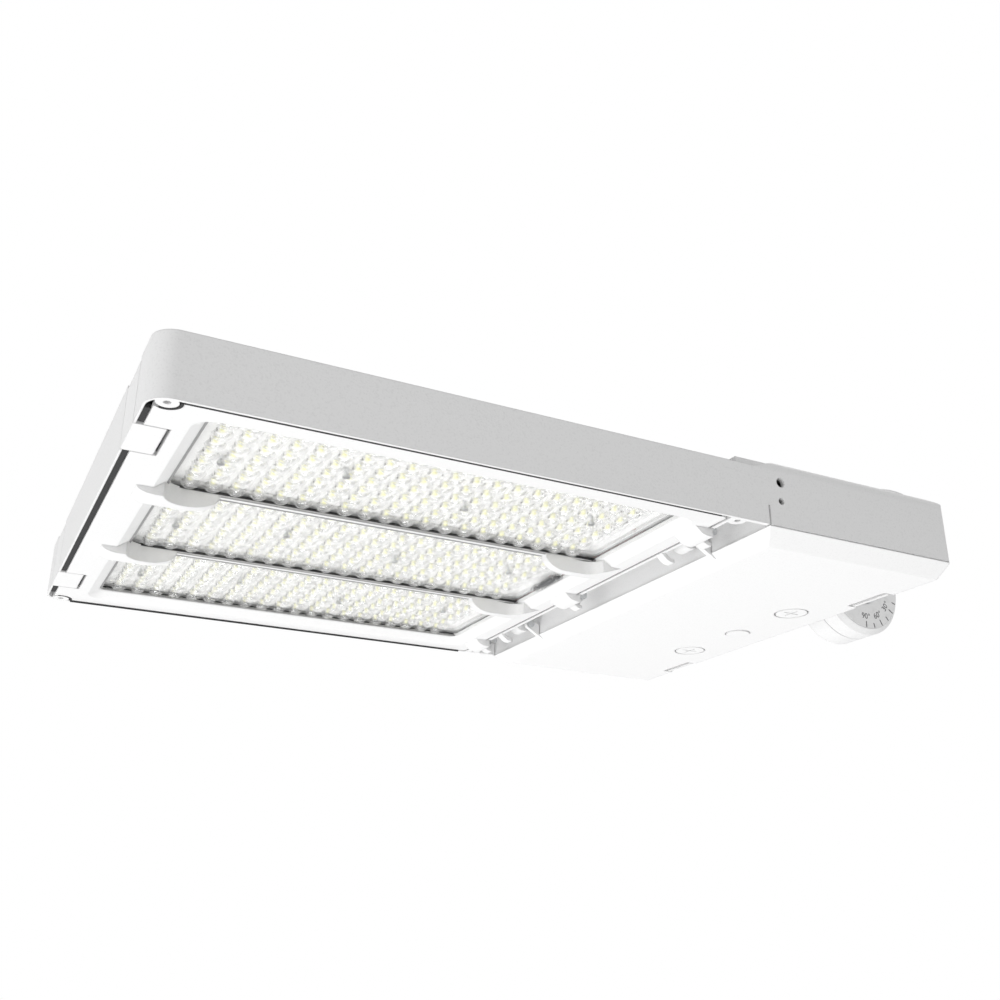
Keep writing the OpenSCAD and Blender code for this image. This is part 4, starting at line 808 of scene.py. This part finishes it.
def dome_sheet(lens, low, high, z, half_x, half_y, rise):
    """A field of domes at one height with a flat border out to the plate's outline"""
    bm = bmesh.new()
    cell = dome_cell(lens, half_x, half_y, rise)
    centre = (low + high) / 2
    for i in range(lens.columns):
        for j in range(lens.rows):
            before = len(bm.verts)
            bm.from_mesh(cell)
            bm.verts.ensure_lookup_table()
            bmesh.ops.translate(bm, verts=bm.verts[before:], vec=(
                centre.x + lens.shift + (i - (lens.columns - 1) / 2) * lens.pitch_x,
                centre.y + (j - (lens.rows - 1) / 2) * lens.pitch_y, z))
    bpy.data.meshes.remove(cell)
    bmesh.ops.remove_doubles(bm, verts=bm.verts, dist=1e-5)
    field_x = lens.columns * lens.pitch_x / 2
    field_y = lens.rows * lens.pitch_y / 2
    reach_x, reach_y = (high.x - low.x) / 2, (high.y - low.y) / 2
    made = bmesh.ops.extrude_edge_only(bm, edges=[e for e in bm.edges if e.is_boundary])
    for vert in [v for v in made["geom"] if isinstance(v, bmesh.types.BMVert)]:
        x = (vert.co.x - centre.x - lens.shift) * reach_x / field_x
        y = (vert.co.y - centre.y) * reach_y / field_y
        over_x, over_y = abs(x) - (reach_x - lens.corner), abs(y) - (reach_y - lens.corner)
        if over_x > 0 and over_y > 0:
            pull = min(1, lens.corner / math.hypot(over_x, over_y))
            x = math.copysign(reach_x - lens.corner + over_x * pull, x)
            y = math.copysign(reach_y - lens.corner + over_y * pull, y)
        vert.co = Vector((centre.x + x, centre.y + y, z))
    for edge in bm.edges:
        if edge.is_boundary:
            edge.smooth = False
    mesh = bpy.data.meshes.new("dome_sheet")
    bm.to_mesh(mesh)
    bm.free()
    return mesh


def lens_plate(bm, lens, low, high):
    """A clear plate whose domes are hollow over the chips, closed all round"""
    wall = lens.wall
    for z, half_x, half_y, rise in (
            (high.z - lens.plate, lens.half_x, lens.half_y, lens.rise),
            (high.z, lens.half_x - wall / 2, lens.half_y - wall / 2,
             lens.rise + lens.plate - wall)):
        sheet = dome_sheet(lens, low, high, z, half_x, half_y, rise)
        bm.from_mesh(sheet)
        bpy.data.meshes.remove(sheet)
    made = bmesh.ops.bridge_loops(bm, edges=[e for e in bm.edges if e.is_boundary])
    for face in made["faces"]:
        for edge in face.edges:
            if not all(f in made["faces"] for f in edge.link_faces):
                edge.smooth = False


class FLOOD_OT_lenses(bpy.types.Operator):
    """Three clear plates of domes in place of the plain lens solids"""

    bl_idname = "flood_light.lenses"
    bl_label = "Build lenses"

    def execute(self, context):
        lens = context.scene.flood_light_lens
        acrylic = clear_acrylic("clear_acrylic", finishes().lens, lens.clearness)
        for side in ("near", "mid", "far"):
            low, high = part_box(f"lens_{side}")
            bm = bmesh.new()
            lens_plate(bm, lens, low, high)
            plate = finish_mesh(bm, f"optic_{side}", "head", acrylic)
            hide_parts(f"lens_{side}")
        bm = bmesh.new()
        low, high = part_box("lens_mid")
        face = high.z - lens.plate
        spot = (high.x - CONNECTOR_IN * MM, CONNECTOR_Y * MM)
        add_block(bm, (6.5 * MM, 34 * MM, 3.2 * MM))
        ridge = [e for e in bm.edges if all(v.co.z < 0 for v in e.verts)]
        bmesh.ops.bevel(bm, geom=ridge, offset=1.2 * MM, affect="EDGES", segments=3,
                        profile=0.5, material=-1, clamp_overlap=True)
        bmesh.ops.translate(bm, verts=bm.verts, vec=(*spot, face - 1.8 * MM))
        finish_mesh(bm, "connector_cover", "head", acrylic)
        plug = moulded("connector_plastic", (0.10, 0.10, 0.105), roughness=0.5)
        bm = bmesh.new()
        for shift, wide in CONNECTOR_PARTS:
            add_block(bm, (3.4 * MM, wide * MM, 1.8 * MM), (0, shift * MM, 0))
        bmesh.ops.bevel(bm, geom=bm.edges[:], offset=0.3 * MM, affect="EDGES", segments=2,
                        profile=0.5, material=-1, clamp_overlap=True)
        bmesh.ops.translate(bm, verts=bm.verts, vec=(*spot, face - 1.4 * MM))
        finish_mesh(bm, "connector_plug", "head", plug, smooth=False)
        return {"FINISHED"}


class FLOOD_OT_scale(bpy.types.Operator):
    """Marks and plain numbers on the knuckle's graduated disc"""

    bl_idname = "flood_light.scale"
    bl_label = "Draw scale"

    def execute(self, context):
        look, scale = finishes(), context.scene.flood_light_scale
        disc = plated_steel("scale_disc", look.dial, roughness=0.45, tint=(0.5, 0.5, 0.5))
        paint_nodes(disc, "dial")
        ink = moulded("mark_ink", look.ink, roughness=0.5)
        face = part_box("dial")[0].y
        bm = bmesh.new()
        quarter = round(math.pi / 2 / scale.step)
        for k in range(-quarter, quarter + 1):
            length = (MARK_LONG if k % 2 == 0 else MARK_SHORT) * MM
            mark = add_block(bm, (length, MARK_RAISE * MM, scale.mark_width),
                             (scale.radius - length / 2, face, 0))
            bmesh.ops.rotate(bm, verts=mark, cent=(0, 0, 0),
                             matrix=Matrix.Rotation(k * scale.step + scale.turn, 3, "Y"))
        bmesh.ops.translate(bm, verts=bm.verts, vec=(KNUCKLE.x, 0, KNUCKLE.z))
        finish_mesh(bm, "scale_marks", "head", ink, smooth=False)
        for degrees in range(-90, 91, 30):
            self.number(f"{abs(degrees)}\u00b0", degrees, face, scale, ink)
        return {"FINISHED"}

    def number(self, word, degrees, face, scale, ink):
        """One engraved number, made a mesh before it is put in place"""
        name = f"number_{degrees % 360}"
        curve = bpy.data.curves.new(f"{name}_curve", "FONT")
        curve.body = word
        curve.size = scale.number_size
        curve.align_x = "CENTER"
        curve.align_y = "CENTER"
        curve.extrude = 0.06 * MM
        made = bpy.data.objects.new(f"{name}_curve", curve)
        bpy.context.scene.collection.objects.link(made)
        bpy.context.view_layer.update()
        mesh = bpy.data.meshes.new_from_object(
            made.evaluated_get(bpy.context.evaluated_depsgraph_get()))
        bpy.data.objects.remove(made)
        bpy.data.curves.remove(curve)
        angle = math.radians(degrees) + scale.turn
        radius = scale.number_radius
        upright = Matrix.Rotation(math.pi / 2, 4, "X")
        turn = Matrix.Rotation(angle, 4, "Y") @ Matrix.Rotation(-math.pi / 2, 4, "Y")
        mesh.transform(Matrix.Translation((
            KNUCKLE.x + radius * math.cos(angle), face,
            KNUCKLE.z - radius * math.sin(angle))) @ turn @ upright)
        place_piece(name, mesh, "head", ink)


class FLOOD_OT_stage(bpy.types.Operator):
    """Pale floor, soft lamps, white surroundings and the camera"""

    bl_idname = "flood_light.stage"
    bl_label = "Set stage"

    def execute(self, context):
        stage = context.scene.flood_light_stage
        self.floor(stage)
        self.world(stage)
        aim = HEAD + Vector((0.25, 0, 0.0))
        for name, at, size, power in LAMPS:
            self.lamp(name, at, aim, size, power)
        self.camera(stage)
        context.scene.view_settings.view_transform = "Standard"
        return {"FINISHED"}

    def floor(self, stage):
        """A round pale floor well under the light"""
        bm = bmesh.new()
        bmesh.ops.create_circle(bm, cap_ends=True, segments=96, radius=stage.floor_radius)
        bmesh.ops.translate(bm, verts=bm.verts, vec=(0, 0, stage.floor_z))
        mesh = bpy.data.meshes.new("floor")
        bm.to_mesh(mesh)
        bm.free()
        floor = bpy.data.objects.new("floor", mesh)
        bpy.context.scene.collection.objects.link(floor)
        material, tree, shader = new_material("pale_floor")
        speckle = group_node(tree, "powder_speckle", Color=(0.90, 0.90, 0.90, 1),
                             Fleck=(0.84, 0.84, 0.84, 1), Scale=60.0, Amount=0.4)
        tree.links.new(speckle.outputs["Color"], shader.inputs["Base Color"])
        shader.inputs["Roughness"].default_value = 0.8
        mesh.materials.append(material)

    def world(self, stage):
        """Even room light, and white where the camera, gloss or glass looks past the object"""
        world = bpy.data.worlds.new("room")
        bpy.context.scene.world = world
        world.use_nodes = True
        tree = world.node_tree
        tree.nodes.clear()
        path = tree.nodes.new("ShaderNodeLightPath")
        seen = maths(tree, "MAXIMUM", path.outputs["Is Camera Ray"],
                     path.outputs["Is Glossy Ray"])
        through = maths(tree, "MAXIMUM", seen, path.outputs["Is Transmission Ray"])
        soft = tree.nodes.new("ShaderNodeBackground")
        soft.inputs["Color"].default_value = (1, 1, 1, 1)
        soft.inputs["Strength"].default_value = stage.ambient
        white = tree.nodes.new("ShaderNodeBackground")
        white.inputs["Color"].default_value = (1, 1, 1, 1)
        white.inputs["Strength"].default_value = 1.0
        mix = tree.nodes.new("ShaderNodeMixShader")
        output = tree.nodes.new("ShaderNodeOutputWorld")
        tree.links.new(through, mix.inputs["Fac"])
        tree.links.new(soft.outputs[0], mix.inputs[1])
        tree.links.new(white.outputs[0], mix.inputs[2])
        tree.links.new(mix.outputs[0], output.inputs["Surface"])

    def lamp(self, name, at, aim, size, power):
        """A soft square lamp that looks at the object and isn't seen itself"""
        data = bpy.data.lights.new(name, "AREA")
        data.shape = "SQUARE"
        data.size = size
        data.energy = power
        lamp = bpy.data.objects.new(name, data)
        bpy.context.scene.collection.objects.link(lamp)
        lamp.location = at
        lamp.rotation_mode = "QUATERNION"
        lamp.rotation_quaternion = (aim - Vector(at)).to_track_quat("-Z", "Y")
        lamp.visible_camera = False

    def camera(self, stage):
        """The camera stands low at the lamp end and looks up along the head"""
        data = bpy.data.cameras.new("camera")
        data.sensor_width = 36.0
        data.lens = stage.camera_lens
        data.clip_start = 0.01
        data.clip_end = 60.0
        camera = bpy.data.objects.new("camera", data)
        bpy.context.scene.collection.objects.link(camera)
        right = Vector((0.8866, -0.4626, 0.0009)).normalized()
        ahead = Vector((0.4288, 0.8227, 0.3731)).normalized()
        up = right.cross(ahead).normalized()
        turn = Matrix((right, up, -ahead)).transposed().to_4x4()
        camera.matrix_world = Matrix.Translation(Vector(stage.camera_at)) @ turn
        bpy.context.scene.camera = camera


class FLOOD_PT_sidebar(bpy.types.Panel):
    """Lists the steps that dress the flood light"""

    bl_idname = "FLOOD_PT_sidebar"
    bl_label = "Flood light"
    bl_space_type = "VIEW_3D"
    bl_region_type = "UI"
    bl_category = "Flood light"

    def draw(self, context):
        for step in STEPS:
            self.layout.operator(step.bl_idname)


STEPS = (FLOOD_OT_stage, FLOOD_OT_casting, FLOOD_OT_optic_frame, FLOOD_OT_hardware,
         FLOOD_OT_seals, FLOOD_OT_wiring, FLOOD_OT_boards, FLOOD_OT_lenses, FLOOD_OT_scale)
GROUPS_OF_VALUES = (FloodLightFinish, FloodLightLens, FloodLightScale, FloodLightStage)


def register():
    for kind in GROUPS_OF_VALUES + STEPS + (FLOOD_PT_sidebar,):
        bpy.utils.register_class(kind)
    bpy.types.Scene.flood_light_finish = bpy.props.PointerProperty(type=FloodLightFinish)
    bpy.types.Scene.flood_light_lens = bpy.props.PointerProperty(type=FloodLightLens)
    bpy.types.Scene.flood_light_scale = bpy.props.PointerProperty(type=FloodLightScale)
    bpy.types.Scene.flood_light_stage = bpy.props.PointerProperty(type=FloodLightStage)


def unregister():
    del bpy.types.Scene.flood_light_stage
    del bpy.types.Scene.flood_light_scale
    del bpy.types.Scene.flood_light_lens
    del bpy.types.Scene.flood_light_finish
    for kind in reversed(GROUPS_OF_VALUES + STEPS + (FLOOD_PT_sidebar,)):
        bpy.utils.unregister_class(kind)


def main():
    """Registers the classes and runs every step"""
    register()
    bpy.ops.flood_light.stage()
    bpy.ops.flood_light.casting()
    bpy.ops.flood_light.optic_frame()
    bpy.ops.flood_light.hardware()
    bpy.ops.flood_light.seals()
    bpy.ops.flood_light.wiring()
    bpy.ops.flood_light.boards()
    bpy.ops.flood_light.lenses()
    bpy.ops.flood_light.scale()


if __name__ == "__main__":
    main()
